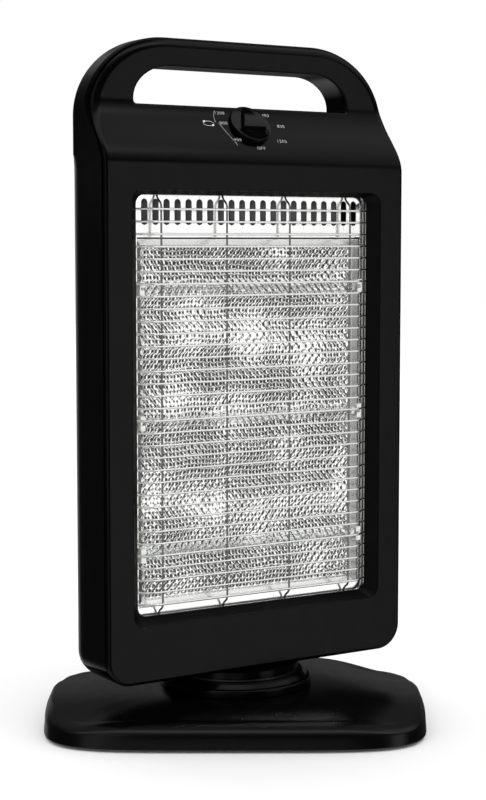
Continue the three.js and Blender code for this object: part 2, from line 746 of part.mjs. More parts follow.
function swingCrank() {
  const low = headBottom + wall + fitGap;
  const axle = rod(shaftRadius, crankTop - 0.5, low + 7, 0, 14).translate([crankPlace, 0, 0]);
  const disc = rod(crankRadius + pinRadius + 1.5, crankTop - crankThick, crankTop, 0, 28)
    .translate([crankPlace, 0, 0]);
  const pin = rod(pinRadius, crankTop - crankThick - linkThick - 1.5, crankTop - 0.5, 0, 12)
    .translate([crankPin[0], crankPin[1], 0]);
  return joinAll([axle, disc, pin]);
}

function swingLink() {
  const z1 = crankTop - crankThick - fitGap;
  const z0 = z1 - linkThick;
  const angle = Math.atan2(crankPin[1] - post[1], crankPin[0] - post[0]);
  const eye = pinRadius + linkPlay;
  const bar = block(0, linkLength, -linkHalfWidth, linkHalfWidth, z0, z1);
  const ends = joinAll([bar, rod(linkHalfWidth + 0.5, z0, z1),
    rod(eye + 2, z0, z1, 0, 24).translate([linkLength, 0, 0])]);
  const cut = cutAll(ends, [rod(pinRadius + fitGap, z0 - 1, z1 + 1, 0, 16),
    rod(eye, z0 - 1, z1 + 1, 0, 24).translate([linkLength, 0, 0])]);
  return cut.rotate([0, 0, angle / degrees]).translate([post[0], post[1], 0]);
}

add(head, 'neck_collar', neckCollar(), 'glossBlack');
add(head, 'swing_motor', swingMotor(), 'plainSheet');
add(head, 'swing_crank', swingCrank(), 'whitePlastic');
add(head, 'swing_link', swingLink(), 'plainSheet');
add(head, 'terminal_block', block(-86, -46, 2, 18, headBottom + wall + fitGap, headBottom + wall + 12),
  'whitePlastic');
add(head, 'thermal_cutout', rodY(8, shieldFront + shieldDepth + fitGap, shieldFront + shieldDepth + 6, 0, 250,
  0, 16), 'plainSheet');

// ---------- base ----------
// a point of the base's outline, drawn in by inset
function baseOutline(t, inset) {
  const power = 2 / basePower;
  const a = baseHalfWidth - inset;
  const b = baseHalfDepth - inset;
  const c = Math.cos(t);
  const s = Math.sin(t);
  return [a * Math.sign(c) * Math.abs(c) ** power, b * Math.sign(s) * Math.abs(s) ** power];
}

// angles that put more points in the corners of the outline
function outlineAngles(count) {
  return Array.from({ length: count }, (_, i) => {
    const t = (2 * Math.PI * i) / count;
    return t - 0.28 * Math.sin(4 * t) / 4 * 2;
  });
}

const baseSteps = 48;
const ridgeInset = (t) => 12 + 4 * Math.max(0, -Math.sin(t)) ** 4;
const ridgeZ = (t) => 20.5 - 3.5 * Math.sin(2 * t) ** 4;

function baseRing(inset, height) {
  return outlineAngles(baseSteps).map((t) => {
    const drop = typeof height === 'function' ? height(t) : height;
    const [x, y] = baseOutline(t, typeof inset === 'function' ? inset(t) : inset);
    return [x, y, drop];
  });
}

function domeRing(share, lower) {
  return outlineAngles(baseSteps).map((t) => {
    const [x, y] = baseOutline(t, ridgeInset(t) + lower);
    const length = Math.hypot(x, y);
    const scale = 1 + share * ((seatRadius + 4) / length - 1);
    const rise = 1 - (1 - share) ** 2;
    return [x * scale, y * scale, ridgeZ(t) + (baseTop - ridgeZ(t)) * rise - lower];
  });
}

function baseForm(lower) {
  const rings = [
    baseRing(lower, baseRimBottom - (lower > 0 ? 1 : 0)),
    baseRing(0.8 + lower, 10),
    baseRing(lower > 0 ? 3 + lower : 1.6, (t) => ridgeZ(t) - 6 - lower * 0.5),
    baseRing((t) => (ridgeInset(t) - 1) * 0.4 + lower, (t) => ridgeZ(t) - 2.2 - lower),
    domeRing(0, lower), domeRing(0.25, lower), domeRing(0.5, lower), domeRing(0.75, lower), domeRing(1, lower),
  ];
  return loft(rings);
}

function baseCover() {
  const shell = baseForm(0).subtract(baseForm(baseWall));
  const form = baseForm(0.5);
  const bosses = baseScrewPlaces.map(([x, y]) => rod(4.5, plateTop + fitGap, 40, 0, 12)
    .translate([x, y, 0]).intersect(form));
  const bores = baseScrewPlaces.map(([x, y]) => rod(screwRadius + fitGap, 3, 16, 0, 8).translate([x, y, 0]));
  const gland = rodY(glandRadius + fitGap, 90, 130, glandPlace, glandHeight, 0, 16);
  return cutAll(joinAll([shell, ...bosses]), [rod(tubeRadius + fitGap, 10, 40), ...bores, gland]);
}

const plateBottom = footHeight + fitGap;
const plateTop = plateBottom + plateThick;
const glandRadius = 4.2;
const glandHeight = 11.2;
const housingTop = 19;

const outlineShape = (inset) => polygon(baseRing(inset, 0).map(([x, y]) => [x, y]));

function basePlate() {
  const plate = prismZ(outlineShape(baseWall + 1.2), plateBottom, plateTop);
  const holes = baseScrewPlaces.map(([x, y]) => rod(screwRadius + fitGap, 0, 10, 0, 8).translate([x, y, 0]));
  const plungerHole = rod(plungerRadius + fitGap, 0, 10).translate([...plungerPlace, 0]);
  return cutAll(plate, [...holes, plungerHole]);
}

function swivelSeat() {
  const floor = baseTop + fitGap;
  const seat = turned([[tubeRadius + fitGap, floor], [seatRadius, floor], [seatRadius, seatHeight - 1.5],
    [seatRadius - 1.5, seatHeight], [seatTopRadius + 1, seatTop - 0.6], [seatTopRadius, seatTop],
    [seatBore, seatTop], [seatBore, floor + 2], [tubeRadius + fitGap, floor + 2],
    [tubeRadius + fitGap, floor]], 40);
  const pinTop = crankTop - crankThick - fitGap;
  const postPin = rod(pinRadius, floor + 1, pinTop - fitGap, 0, 12);
  const postBase = rod(5, floor + 1, pinTop - linkThick - fitGap, 0, 16);
  const local = [post[0], post[1], 0];
  const turn = restTurn * degrees;
  const spot = [local[0] * Math.cos(turn) - local[1] * Math.sin(turn),
    local[0] * Math.sin(turn) + local[1] * Math.cos(turn), 0];
  return joinAll([seat, postPin.translate(spot), postBase.translate(spot)]);
}

function pivotTube() {
  const low = baseTop - baseWall - 4;
  const high = headBottom + wall + 7;
  return turned([[tubeBore, low], [nutRadius + 3, low], [nutRadius + 3, low + 2], [tubeRadius, low + 2],
    [tubeRadius, high], [tubeBore, high], [tubeBore, low]], 24);
}

function plungerHousing() {
  const body = block(-13, 13, -8, 8, plateTop + fitGap, housingTop);
  const room = rod(6, plateTop - 1, housingTop - 2, 0, 20);
  return body.subtract(room).translate([...plungerPlace, 0]);
}

function tipPlunger() {
  const flange = plateTop + fitGap + plungerTravel;
  return turned([[0, fitGap], [plungerRadius - 1, fitGap], [plungerRadius, fitGap + 1],
    [plungerRadius, flange], [5.6, flange], [5.6, flange + 1.2], [2.4, flange + 1.2],
    [2.4, flange + 3.5], [0, flange + 3.5]], 20).translate([...plungerPlace, 0]);
}

function plungerSpring() {
  const low = plateTop + fitGap + plungerTravel + 1.2 + fitGap + 0.4;
  const high = housingTop - 2 - fitGap - 0.4;
  const steps = springTurns * 8;
  const points = Array.from({ length: steps + 1 }, (_, i) => {
    const angle = (i / 8) * 2 * Math.PI;
    return new THREE.Vector3(4.6 * Math.cos(angle), 4.6 * Math.sin(angle), low + ((high - low) * i) / steps);
  });
  const section = new THREE.Shape();
  section.absarc(0, 0, 0.4, 0, 2 * Math.PI, false);
  const geometry = new THREE.ExtrudeGeometry(section, { steps, curveSegments: 3, bevelEnabled: false,
    extrudePath: new THREE.CatmullRomCurve3(points) });
  return toSolid(geometry).translate([...plungerPlace, 0]);
}

function cordGland() {
  const reach = baseHalfDepth;
  return rodY(glandRadius, reach - 14, reach + 1, glandPlace, glandHeight, 2.6, 16)
    .add(rodY(glandRadius + 1.6, reach + 0.5, reach + 3, glandPlace, glandHeight, 2.6, 16));
}

add(base, 'base_cover', baseCover(), 'glossBlack');
add(base, 'base_plate', basePlate(), 'blackPart');
add(base, 'ballast_plate', block(-95, 36, -60, 60, plateTop + fitGap, plateTop + fitGap + ballastThick),
  'plainSheet');
footPlaces.forEach(([x, y], i) => {
  const foot = turned([[0, 0], [footRadius - 1, 0], [footRadius, 1], [footRadius - 0.6, footHeight],
    [0, footHeight]], 20);
  add(base, `rubber_foot_${i + 1}`, foot.translate([x, y, 0]), 'rubber');
});
baseScrewPlaces.forEach(([x, y], i) => {
  const screw = rod(screwHead, plateBottom - 1.4 - fitGap, plateBottom - fitGap, 0, 12)
    .add(rod(screwRadius, plateBottom - 1, 14, 0, 8));
  add(base, `base_screw_${i + 1}`, screw.translate([x, y, 0]), 'plainSheet');
});
add(base, 'swivel_seat', swivelSeat(), 'glossBlack');
add(base, 'slide_ring', rod(neckRadius - 0.5, seatTop + fitGap, ringTop, seatBore + 0.5, 40), 'whitePlastic');
add(base, 'pivot_tube', pivotTube(), 'plainSheet');
add(base, 'retaining_nut', rod(nutRadius, headBottom + wall + fitGap, headBottom + wall + 5,
  tubeRadius + fitGap, 24), 'plainSheet');
add(base, 'plunger_housing', plungerHousing(), 'whitePlastic');
add(base, 'tip_plunger', tipPlunger(), 'blackPart');
add(base, 'plunger_spring', plungerSpring(), 'plainSheet');
add(base, 'cord_gland', cordGland(), 'rubber');

export default heater;
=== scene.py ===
import math

import bmesh
import bpy
import numpy as np
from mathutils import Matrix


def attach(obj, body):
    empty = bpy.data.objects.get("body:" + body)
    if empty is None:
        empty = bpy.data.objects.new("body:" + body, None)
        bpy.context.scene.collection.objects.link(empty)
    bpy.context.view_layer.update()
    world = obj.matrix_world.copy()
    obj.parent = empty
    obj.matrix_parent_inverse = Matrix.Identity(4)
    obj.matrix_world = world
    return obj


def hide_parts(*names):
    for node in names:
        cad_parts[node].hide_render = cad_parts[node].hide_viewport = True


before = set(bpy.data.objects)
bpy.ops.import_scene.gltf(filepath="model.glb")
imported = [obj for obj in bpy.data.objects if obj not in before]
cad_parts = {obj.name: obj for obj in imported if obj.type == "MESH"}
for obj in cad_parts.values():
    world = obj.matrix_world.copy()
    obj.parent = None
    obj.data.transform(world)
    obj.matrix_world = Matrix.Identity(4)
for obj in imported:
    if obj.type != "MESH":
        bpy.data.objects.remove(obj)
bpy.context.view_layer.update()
scene = bpy.context.scene
print("frame loaded:", len(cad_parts), "nodes")

# ---- camera: long lens a little above the handle's middle, looking slightly down ----

cameraSetup = dict(place=(-0.72345, -1.16904, 0.37579), pitch=84.81, turn=-32.0, lens=79.04)
camData = bpy.data.cameras.new("camera")
camData.sensor_width = 36
camData.lens = cameraSetup["lens"]
cam = bpy.data.objects.new("camera", camData)
cam.location = cameraSetup["place"]
cam.rotation_euler = (math.radians(cameraSetup["pitch"]), 0, math.radians(cameraSetup["turn"]))
scene.collection.objects.link(cam)
scene.camera = cam

# ---- mesh helpers ----


# normals of a grid of points: the cross product of its two direction differences
def gridNormals(points, closedU, closedV):
    def diff(axis, closed):
        if closed:
            return np.roll(points, -1, axis) - np.roll(points, 1, axis)
        return np.gradient(points, axis=axis, edge_order=2 if points.shape[axis] > 2 else 1)
    normal = np.cross(diff(0, closedU), diff(1, closedV))
    size = np.linalg.norm(normal, axis=2, keepdims=True)
    flat = size[..., 0] < 1e-9  # poles take the mean normal of the next row
    normal = normal / np.where(size < 1e-9, 1, size)
    for row, near in ((0, 1), (-1, -2)):
        if points.shape[0] > 2 and flat[row].any():
            normal[row, flat[row]] = normal[near].mean(0)
        if points.shape[1] > 2 and flat[:, row].any():
            normal[flat[:, row], row] = normal[:, near].mean(0)
    return normal


# one sheet of a piece: points[u, v] in mm, seen from the side where u x v points out
def sheet(points, closedU=False, closedV=False, flip=False, slot=0, normals=None):
    points = np.asarray(points, float)
    if flip:
        points = points[::-1]
        normals = None if normals is None else normals[::-1]
    return dict(points=points, u=closedU, v=closedV, slot=slot, normals=normals)


# puts a mesh into the scene as a piece that rides on a body, in the place of the CAD nodes it replaces
def addPiece(name, mesh, body, slotName, *replaced):
    piece = bpy.data.objects.new(name, mesh)
    scene.collection.objects.link(piece)
    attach(piece, body)
    if replaced:
        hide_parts(*replaced)
    return piece


# joins sheets into one mesh: quads between neighbouring grid points, each with its own normals
def makePiece(name, sheets, body, materials, node, slotName):
    verts, normals, faces, slots = [], [], [], []
    base = 0
    for part in sheets:
        points = part["points"]
        m, n = points.shape[:2]
        i = np.arange(m if part["u"] else m - 1)[:, None]
        j = np.arange(n if part["v"] else n - 1)[None, :]
        i, j = np.broadcast_arrays(i, j)
        a = i * n + j
        b = ((i + 1) % m) * n + j
        c = ((i + 1) % m) * n + (j + 1) % n
        d = i * n + (j + 1) % n
        quads = np.stack([a, b, c, d], -1).reshape(-1, 4) + base
        verts.append(points.reshape(-1, 3))
        own = part["normals"]
        normals.append((gridNormals(points, part["u"], part["v"]) if own is None else own).reshape(-1, 3))
        faces.append(quads)
        slots.append(np.full(len(quads), part["slot"]))
        base += m * n
    verts = np.concatenate(verts) * 0.001
    normals = np.concatenate(normals)
    faces = np.concatenate(faces)
    slots = np.concatenate(slots)
    mesh = bpy.data.meshes.new(name)
    mesh.vertices.add(len(verts))
    mesh.vertices.foreach_set("co", verts.ravel())
    mesh.loops.add(faces.size)
    mesh.loops.foreach_set("vertex_index", faces.ravel())
    mesh.polygons.add(len(faces))
    mesh.polygons.foreach_set("loop_start", np.arange(0, faces.size, 4))
    mesh.polygons.foreach_set("loop_total", np.full(len(faces), 4))
    mesh.polygons.foreach_set("material_index", slots)
    mesh.update(calc_edges=True)
    mesh.polygons.foreach_set("use_smooth", np.ones(len(faces), bool))
    mesh.normals_split_custom_set_from_vertices(normals)
    for material in materials if isinstance(materials, list) else [materials]:
        mesh.materials.append(material)
    addPiece(name, mesh, body, slotName, node)


# a band from each closed loop to the next; it faces inward where it is the wall of a hole
def band(loops, inward=False, slot=0):
    return sheet(np.stack(loops, 1), closedU=True, flip=inward, slot=slot)


# angles from 0 to 90 degrees
def quarter(count):
    return np.radians(np.linspace(0, 90, count))


# profiles of (radius, height) turned about an upright axis at (x, y); each straight or round run is a
# sheet of its own, so that it keeps its own normals
def turnedRuns(runs, x=0.0, y=0.0, steps=96):
    angle = np.arange(steps)[:, None] * 2 * np.pi / steps
    sheets = []
    for run in runs:
        radius, height = np.asarray(run, float).T
        points = [x + radius * np.cos(angle), y + radius * np.sin(angle), height + 0 * angle]
        sheets.append(sheet(np.stack(points, -1), closedU=True))
    return sheets


# points on a quarter circle about (cx, cy) from angle a to angle b in degrees
def arc(cx, cy, radius, a, b, count=7):
    t = np.radians(np.linspace(a, b, count))
    return [(cx + radius * math.cos(v), cy + radius * math.sin(v)) for v in t]


# a round section carried along a path, its frame kept upright on a reference direction; an open end
# is drawn in to a small ring and a tip
def tube(path, radius, sides, reference=(0, 0, 1), closed=False, slot=0):
    path = np.asarray(path, float)
    along = np.roll(path, -1, 0) - np.roll(path, 1, 0) if closed else np.gradient(path, axis=0)
    along /= np.linalg.norm(along, axis=1, keepdims=True)
    side = np.cross(along, np.asarray(reference, float))
    side /= np.linalg.norm(side, axis=1, keepdims=True)
    up = np.cross(side, along)
    angle = np.arange(sides) * 2 * np.pi / sides
    ring = side[:, None] * np.cos(angle)[None, :, None] + up[:, None] * np.sin(angle)[None, :, None]
    body = path[:, None] + radius * ring
    if not closed:
        tip = [path[:1, None] - along[:1, None] * radius * 0.5 + 0.0 * ring[:1],
               path[:1, None] - along[:1, None] * radius * 0.35 + 0.7 * radius * ring[:1]]
        end = [path[-1:, None] + along[-1:, None] * radius * 0.35 + 0.7 * radius * ring[-1:],
               path[-1:, None] + along[-1:, None] * radius * 0.5 + 0.0 * ring[-1:]]
        body = np.concatenate(tip + [body] + end)
    return sheet(body, closedU=closed, closedV=True, slot=slot)


# ---- material helpers ----


# one colour of an sRGB hex value, turned to linear
def hexColour(text):
    parts = [int(text[i:i + 2], 16) / 255 for i in (1, 3, 5)]
    return tuple(p / 12.92 if p <= 0.04045 else ((p + 0.055) / 1.055) ** 2.4 for p in parts) + (1.0,)


# adds a node, sets its inputs and properties, and links the inputs given as sockets
def addNode(tree, kind, inputs=None, **settings):
    node = tree.nodes.new(kind)
    for key, value in settings.items():
        setattr(node, key, value)
    for key, value in (inputs or {}).items():
        if isinstance(value, bpy.types.NodeSocket):
            tree.links.new(value, node.inputs[key])
        else:
            node.inputs[key].default_value = value
    return node


# a material with its node tree and its shader
def newMaterial(name):
    material = bpy.data.materials.new(name)
    material.use_nodes = True
    tree = material.node_tree
    return material, tree, tree.nodes["Principled BSDF"]


# injection moulded plastic: colour cloud 60 mm across, gloss that wanders over 9 mm, faint waves
# of the mould's polish as bump; colours run from dark to light, roughness from gloss[0] to gloss[1]
def mouldedPlastic(name, dark, light, gloss, wave, waveSize, level=0.5):
    material, tree, shader = newMaterial(name)
    place = addNode(tree, "ShaderNodeTexCoord").outputs["Object"]
    cloud = addNode(tree, "ShaderNodeTexNoise", {"Vector": place, "Scale": 1000 / 60, "Detail": 3.0})
    tone = addNode(tree, "ShaderNodeMix", {0: cloud.outputs["Fac"], 6: hexColour(dark), 7: hexColour(light)},
                   data_type="RGBA")
    skin = addNode(tree, "ShaderNodeTexNoise", {"Vector": place, "Scale": 1000 / 9, "Detail": 4.0})
    sheen = addNode(tree, "ShaderNodeMapRange",
                    {"Value": skin.outputs["Fac"], "From Min": 0.3, "From Max": 0.7, "To Min": gloss[0],
                     "To Max": gloss[1]})
    ripple = addNode(tree, "ShaderNodeTexNoise", {"Vector": place, "Scale": 1000 / waveSize, "Detail": 2.0})
    relief = addNode(tree, "ShaderNodeBump", {"Height": ripple.outputs["Fac"], "Strength": 0.4,
                                              "Distance": wave * 0.001})
    tree.links.new(tone.outputs[2], shader.inputs["Base Color"])
    tree.links.new(sheen.outputs[0], shader.inputs["Roughness"])
    tree.links.new(relief.outputs[0], shader.inputs["Normal"])
    shader.inputs["IOR"].default_value = 1.53
    shader.inputs["Specular IOR Level"].default_value = level
    return material


# metal: a finish of lines or grain, coarse mm across and stretched by run, over a cloud of uneven gloss
def metalFinish(name, colour, gloss, run, coarse, bump):
    material, tree, shader = newMaterial(name)
    place = addNode(tree, "ShaderNodeTexCoord").outputs["Object"]
    along = addNode(tree, "ShaderNodeMapping", {"Vector": place, "Scale": run})
    lines = addNode(tree, "ShaderNodeTexNoise", {"Vector": along.outputs[0], "Scale": 1000 / coarse,
                                                 "Detail": 3.0, "Roughness": 0.6})
    cloud = addNode(tree, "ShaderNodeTexNoise", {"Vector": place, "Scale": 1000 / 35, "Detail": 3.0})
    sheen = addNode(tree, "ShaderNodeMapRange",
                    {"Value": cloud.outputs["Fac"], "From Min": 0.3, "From Max": 0.7, "To Min": gloss[0],
                     "To Max": gloss[1]})
    relief = addNode(tree, "ShaderNodeBump", {"Height": lines.outputs["Fac"], "Strength": 0.5,
                                              "Distance": bump * 0.001})
    shader.inputs["Base Color"].default_value = hexColour(colour)
    shader.inputs["Metallic"].default_value = 1.0
    tree.links.new(sheen.outputs[0], shader.inputs["Roughness"])
    tree.links.new(relief.outputs[0], shader.inputs["Normal"])
    return material


# ABS moulded in a polished tool: deep black with a mirror-like skin that waves a little
glossAbs = mouldedPlastic("glossMouldedAbs", "#020203", "#040405", (0.13, 0.19), 0.012, 18.0, 0.085)
# the base's ABS comes from a finely blasted tool: the room's light spreads softly over its slopes
baseAbs = mouldedPlastic("satinBaseAbs", "#030304", "#060607", (0.22, 0.28), 0.01, 14.0, 0.16)
# the same ABS where the tool's draft leaves the window's walls duller
wallAbs = mouldedPlastic("dullMouldedAbs", "#020203", "#050506", (0.4, 0.5), 0.012, 9.0, 0.08)
# ABS moulded in a finer-blasted tool: the dial's slightly softer gloss
knobAbs = mouldedPlastic("satinMouldedAbs", "#040405", "#080809", (0.12, 0.18), 0.015, 5.0, 0.12)
# polypropylene moulded in a spark-eroded tool: matt grain 1.6 mm across, drawn coarser than real
undersideAbs = mouldedPlastic("mattMouldedPolypropylene", "#111112", "#18181a", (0.5, 0.62), 0.03, 1.6, 0.4)
# nylon moulded uncoloured: milky, half matt
whiteNylon = mouldedPlastic("mouldedNaturalNylon", "#d8d5ca", "#e6e3d9", (0.42, 0.52), 0.03, 3.0)
# steatite pressed and fired: chalky white with a fine dry grain
firedSteatite = mouldedPlastic("pressedSteatiteCeramic", "#f0eee8", "#faf9f6", (0.55, 0.7), 0.05, 0.9)
# acetal turned from black stock: dark, waxy half gloss
blackAcetal = mouldedPlastic("turnedBlackAcetal", "#121213", "#19191a", (0.28, 0.36), 0.01, 2.0, 0.35)
# rubber pressed in a steel mould: dull, dusty black
pressedRubber = mouldedPlastic("pressedNitrileRubber", "#0d0d0d", "#171716", (0.7, 0.85), 0.05, 0.7, 0.3)
# ink printed through a screen: flat warm grey white, slightly uneven
printedInk = mouldedPlastic("screenPrintedInk", "#d9d9d7", "#ececea", (0.5, 0.6), 0.005, 1.0, 0.3)
# aluminium rolled and brightened: near mirror, faint rolling lines that run up and down
mirrorSheet = metalFinish("brightRolledAluminium", "#eaeae8", (0.06, 0.12), (14, 1, 1), 2.2, 0.003)
# the slotted frame's sheet, rolled to a satin: reflections blur within a few millimetres
satinSheet = metalFinish("satinRolledAluminium", "#f6f6f4", (0.2, 0.27), (14, 1, 1), 2.2, 0.003)
# steel sheet plated with zinc: greyer, cloudy
zincSheet = metalFinish("zincPlatedSteelSheet", "#a9abac", (0.28, 0.42), (1, 1, 1), 4.0, 0.012)
# the shield's steel sheet, coloured mid grey, darker than the zinc sheet, and dull
darkerShieldSteel = metalFinish("darkGreyShieldSteelSheet", "#808184", (0.42, 0.55), (1, 1, 1), 4.0, 0.012)
# steel wire plated with chrome: bright, nearly without grain
chromeWire = metalFinish("chromePlatedDrawnWire", "#e9e9e8", (0.16, 0.22), (1, 1, 1), 1.5, 0.002)
# painted shade: the uprights get a darker grey copy of the chrome wire, which stands in for the shade they
# lie in behind the cross wires; they read as grey lines behind the bright ones
shadedUprightWire = metalFinish("uprightWirePaintedShade", "#a5a5a6", (0.16, 0.24), (1, 1, 1), 1.5, 0.002)
# headed steel plated with nickel: warm grey, soft gloss
screwSteel = metalFinish("nickelPlatedHeadedSteel", "#c4c2bb", (0.2, 0.3), (1, 1, 1), 0.8, 0.006)
# cast iron painted: dark, sandy surface
castWeight = metalFinish("paintedCastIron", "#3c3c3d", (0.5, 0.65), (1, 1, 1), 1.8, 0.06)
# tungsten drawn and coiled: light warm grey, half matt
coiledTungsten = metalFinish("coiledTungstenWire", "#b9b5ad", (0.3, 0.42), (1, 1, 1), 0.4, 0.002)


# quartz drawn into tube: clear, faint draw lines along x as bump
quartzTube, tree, shader = newMaterial("drawnQuartzGlass")
place = addNode(tree, "ShaderNodeTexCoord").outputs["Object"]
along = addNode(tree, "ShaderNodeMapping", {"Vector": place, "Scale": (0.04, 1, 1)})
lines = addNode(tree, "ShaderNodeTexNoise", {"Vector": along.outputs[0], "Scale": 1000 / 1.5, "Detail": 2.0})
relief = addNode(tree, "ShaderNodeBump", {"Height": lines.outputs["Fac"], "Strength": 0.3,
                                          "Distance": 0.000004})
sheen = addNode(tree, "ShaderNodeMapRange", {"Value": lines.outputs["Fac"], "To Min": 0.0, "To Max": 0.04})
tree.links.new(relief.outputs[0], shader.inputs["Normal"])
tree.links.new(sheen.outputs[0], shader.inputs["Roughness"])
shader.inputs["Base Color"].default_value = hexColour("#fbfcfc")
shader.inputs["Transmission Weight"].default_value = 1.0
shader.inputs["IOR"].default_value = 1.025  # lower than quartz: the lamps are hardly seen on the object
print("materials ready")

# ---- the head's form: width, front and back as functions of height ----

headForm = dict(half=134.0, bottom=45.0, top=527.5, front=38.3, handleFront=13.0, handleBack=16.0, rear=37.0,
                slopeLow=430.0, slopeHigh=482.0, stepTop=439.0, stepRound=14.0, cornerWide=68.0,
                cornerHigh=60.0, lowCorner=20.0, edge=3.0, handleEdge=9.0, rearEdge=5.0, sideBack=2.0,
                plate=2.8, seam=2.2, grooveDepth=1.3)


# a share from 0 to 1 with soft ends: three squares less two cubes
def smooth(t):
    t = np.clip(t, 0, 1)
    return t * t * (3 - 2 * t)


# from the panel's value to the handle's, by the smooth share of the slope's height
def panelToHandle(panel, handle, z):
    h = headForm
    share = smooth((np.asarray(z, float) - h["slopeLow"]) / (h["slopeHigh"] - h["slopeLow"]))
    return panel + (handle - panel) * share


# front surface: flat, then a smooth S from the panel back to the handle
def frontY(z):
    return panelToHandle(-headForm["front"], -headForm["handleFront"], z)


# radius of the front's edge rounding, which grows by the same share
def edgeRadius(z):
    return panelToHandle(headForm["edge"], headForm["handleEdge"], z)


# a surface that follows the front at a depth behind it
def behind(depth):
    return lambda z: frontY(z) + depth


# a closed loop in x and z: straight bottom, round lower corners, elliptical upper corners
# returns points and outward normals, the same count for any size so that loops match
def cornerLoop(half, low, high, lower, upperWide, upperHigh, counts):
    flat, corner, side, crown = counts
    pts, nrm = [], []

    def line(a, b, normal, count):
        t = np.linspace(0, 1, count, endpoint=False)[:, None]
        pts.append(np.asarray(a) * (1 - t) + np.asarray(b) * t)
        nrm.append(np.tile(normal, (count, 1)))

    def bend(cx, cz, rx, rz, a, b, count):
        t = np.radians(np.linspace(a, b, count, endpoint=False))
        pts.append(np.stack([cx + rx * np.cos(t), cz + rz * np.sin(t)], 1))
        out = np.stack([np.cos(t) * rz, np.sin(t) * rx], 1)
        nrm.append(out / np.linalg.norm(out, axis=1, keepdims=True))

    line((-half + lower, low), (half - lower, low), (0, -1), flat)
    bend(half - lower, low + lower, lower, lower, -90, 0, corner)
    line((half, low + lower), (half, high - upperHigh), (1, 0), side)
    bend(half - upperWide, high - upperHigh, upperWide, upperHigh, 0, 90, crown)
    line((half - upperWide, high), (-half + upperWide, high), (0, 1), flat)
    bend(-half + upperWide, high - upperHigh, upperWide, upperHigh, 90, 180, crown)
    line((-half, high - upperHigh), (-half, low + lower), (-1, 0), side)
    bend(-half + lower, low + lower, lower, lower, 180, 270, corner)
    return np.concatenate(pts), np.concatenate(nrm)


# the same with four equal corners, points alone
def evenLoop(half, low, high, corner, counts):
    return cornerLoop(half, low, high, corner, corner, corner, counts)[0]


# a flat loop set at a depth y, which is a number or follows the height
def lift(loop, y):
    y = y(loop[:, 1]) if callable(y) else y
    return np.stack([loop[:, 0], np.broadcast_to(y, len(loop)), loop[:, 1]], 1)


# the head's outline, with many side points where the front slopes
loopPts, loopNrm = cornerLoop(headForm["half"], headForm["bottom"], headForm["top"], headForm["lowCorner"],
                              headForm["cornerWide"], headForm["cornerHigh"], (6, 22, 110, 44))
loopR = edgeRadius(loopPts[:, 1])


# points of the head's edge at an inward offset
def offsetLoop(offset, y, pts=loopPts, nrm=loopNrm):
    return lift(pts - nrm * np.asarray(offset).reshape(-1, 1), y)


# a loop on the front's edge rounding, turned by an angle: in by one minus the sine, back by one minus
# the cosine
def roundingLoop(radius, angle, pts=loopPts, nrm=loopNrm):
    return offsetLoop(radius * (1 - np.sin(angle)), behind(radius * (1 - np.cos(angle))), pts, nrm)


# the angle at which a rounding has come a depth back, and how far in it then stands
def turnAt(depth, radius):
    return np.arccos(np.clip(1 - depth / radius, -1, 1))


def insetAt(depth, radius):
    return np.where(radius > depth, radius * (1 - np.sin(turnAt(depth, radius))), 0)


# the right-hand points of a loop, from low to high
def rightHalf(points):
    points = points[points[:, 0] > 0]
    return points[np.argsort(points[:, 1])]


# half width of the head's flat front at a height: the loop drawn in by its edge radius
rightSide = rightHalf(loopPts - loopNrm * loopR[:, None])


def innerHalf(z):
    return np.interp(z, rightSide[:, 1], rightSide[:, 0])


# half width of a hole at a height: less by a quarter ellipse at each corner
def holeHalf(z, half, low, high, lower, upperWide, upperHigh):
    below = np.clip((low + lower - z) / lower, 0, 1)
    above = np.clip((z - high + upperHigh) / upperHigh, 0, 1)
    half = half - lower * (1 - np.sqrt(1 - below ** 2))
    return half - upperWide * (1 - np.sqrt(1 - above ** 2))


# heights through a hole, closer together at its rounded corners
def holeLevels(low, high, lower, upper, steps, extra):
    angle = quarter(17)
    levels = np.concatenate([low + lower * (1 - np.cos(angle)), high - upper * (1 - np.sin(angle)),
                             np.linspace(low + lower, high - upper, steps), extra])
    levels = np.unique(np.round(levels, 4))
    return levels[(levels >= low) & (levels <= high)]


# two heights with those of the levels that lie between them
def rowsBetween(a, b, levels):
    return np.unique(np.concatenate([[a, b], levels[(levels > a) & (levels < b)]]))


# straight rows across the front or back; each side and the depth are numbers or follow the height
def rowSheet(levels, left, right, depth, back, columns=2):
    levels = np.asarray(levels, float)
    left, right, depth = (np.broadcast_to(v(levels) if callable(v) else v, levels.shape)[:, None]
                          for v in (left, right, depth))
    t = np.linspace(0, 1, columns)
    x = left * (1 - t) + right * t
    return sheet(np.stack([x, depth + 0 * x, levels[:, None] + 0 * x], -1), flip=not back)


# rows from side to side, or the two legs beside a hole
def fullRows(levels, half, depth, back=False, hole=None, columns=2):
    if hole is None:
        return [rowSheet(levels, lambda z: -half(z), half, depth, back, columns)]
    return [rowSheet(levels, hole, half, depth, back, columns),
            rowSheet(levels, lambda z: -half(z), lambda z: -hole(z), depth, back, columns)]


openForm = dict(half=96.0, low=477.0, high=505.6, lower=2.5, upperWide=32.0, upperHigh=25.0, edge=1.6)
openLow, openHigh = openForm["low"] - openForm["edge"], openForm["high"] + openForm["edge"]


# the handle opening's outline, grown by a distance
def openLoop(grow=0.0):
    o = openForm
    return cornerLoop(o["half"] + grow, o["low"] - grow, o["high"] + grow, o["lower"], o["upperWide"] + grow,
                      o["upperHigh"] + grow, (40, 8, 4, 28))[0]


# the opening with its rounded edge: half width at a height, and its heights
def openHalf(z):
    o = openForm
    return holeHalf(z, o["half"] + o["edge"], openLow, openHigh, o["lower"], o["upperWide"] + o["edge"],
                    o["upperHigh"] + o["edge"])


def openRows(steps, extra):
    o = openForm
    return holeLevels(openLow, openHigh, o["lower"], o["upperHigh"] + o["edge"], steps, extra)


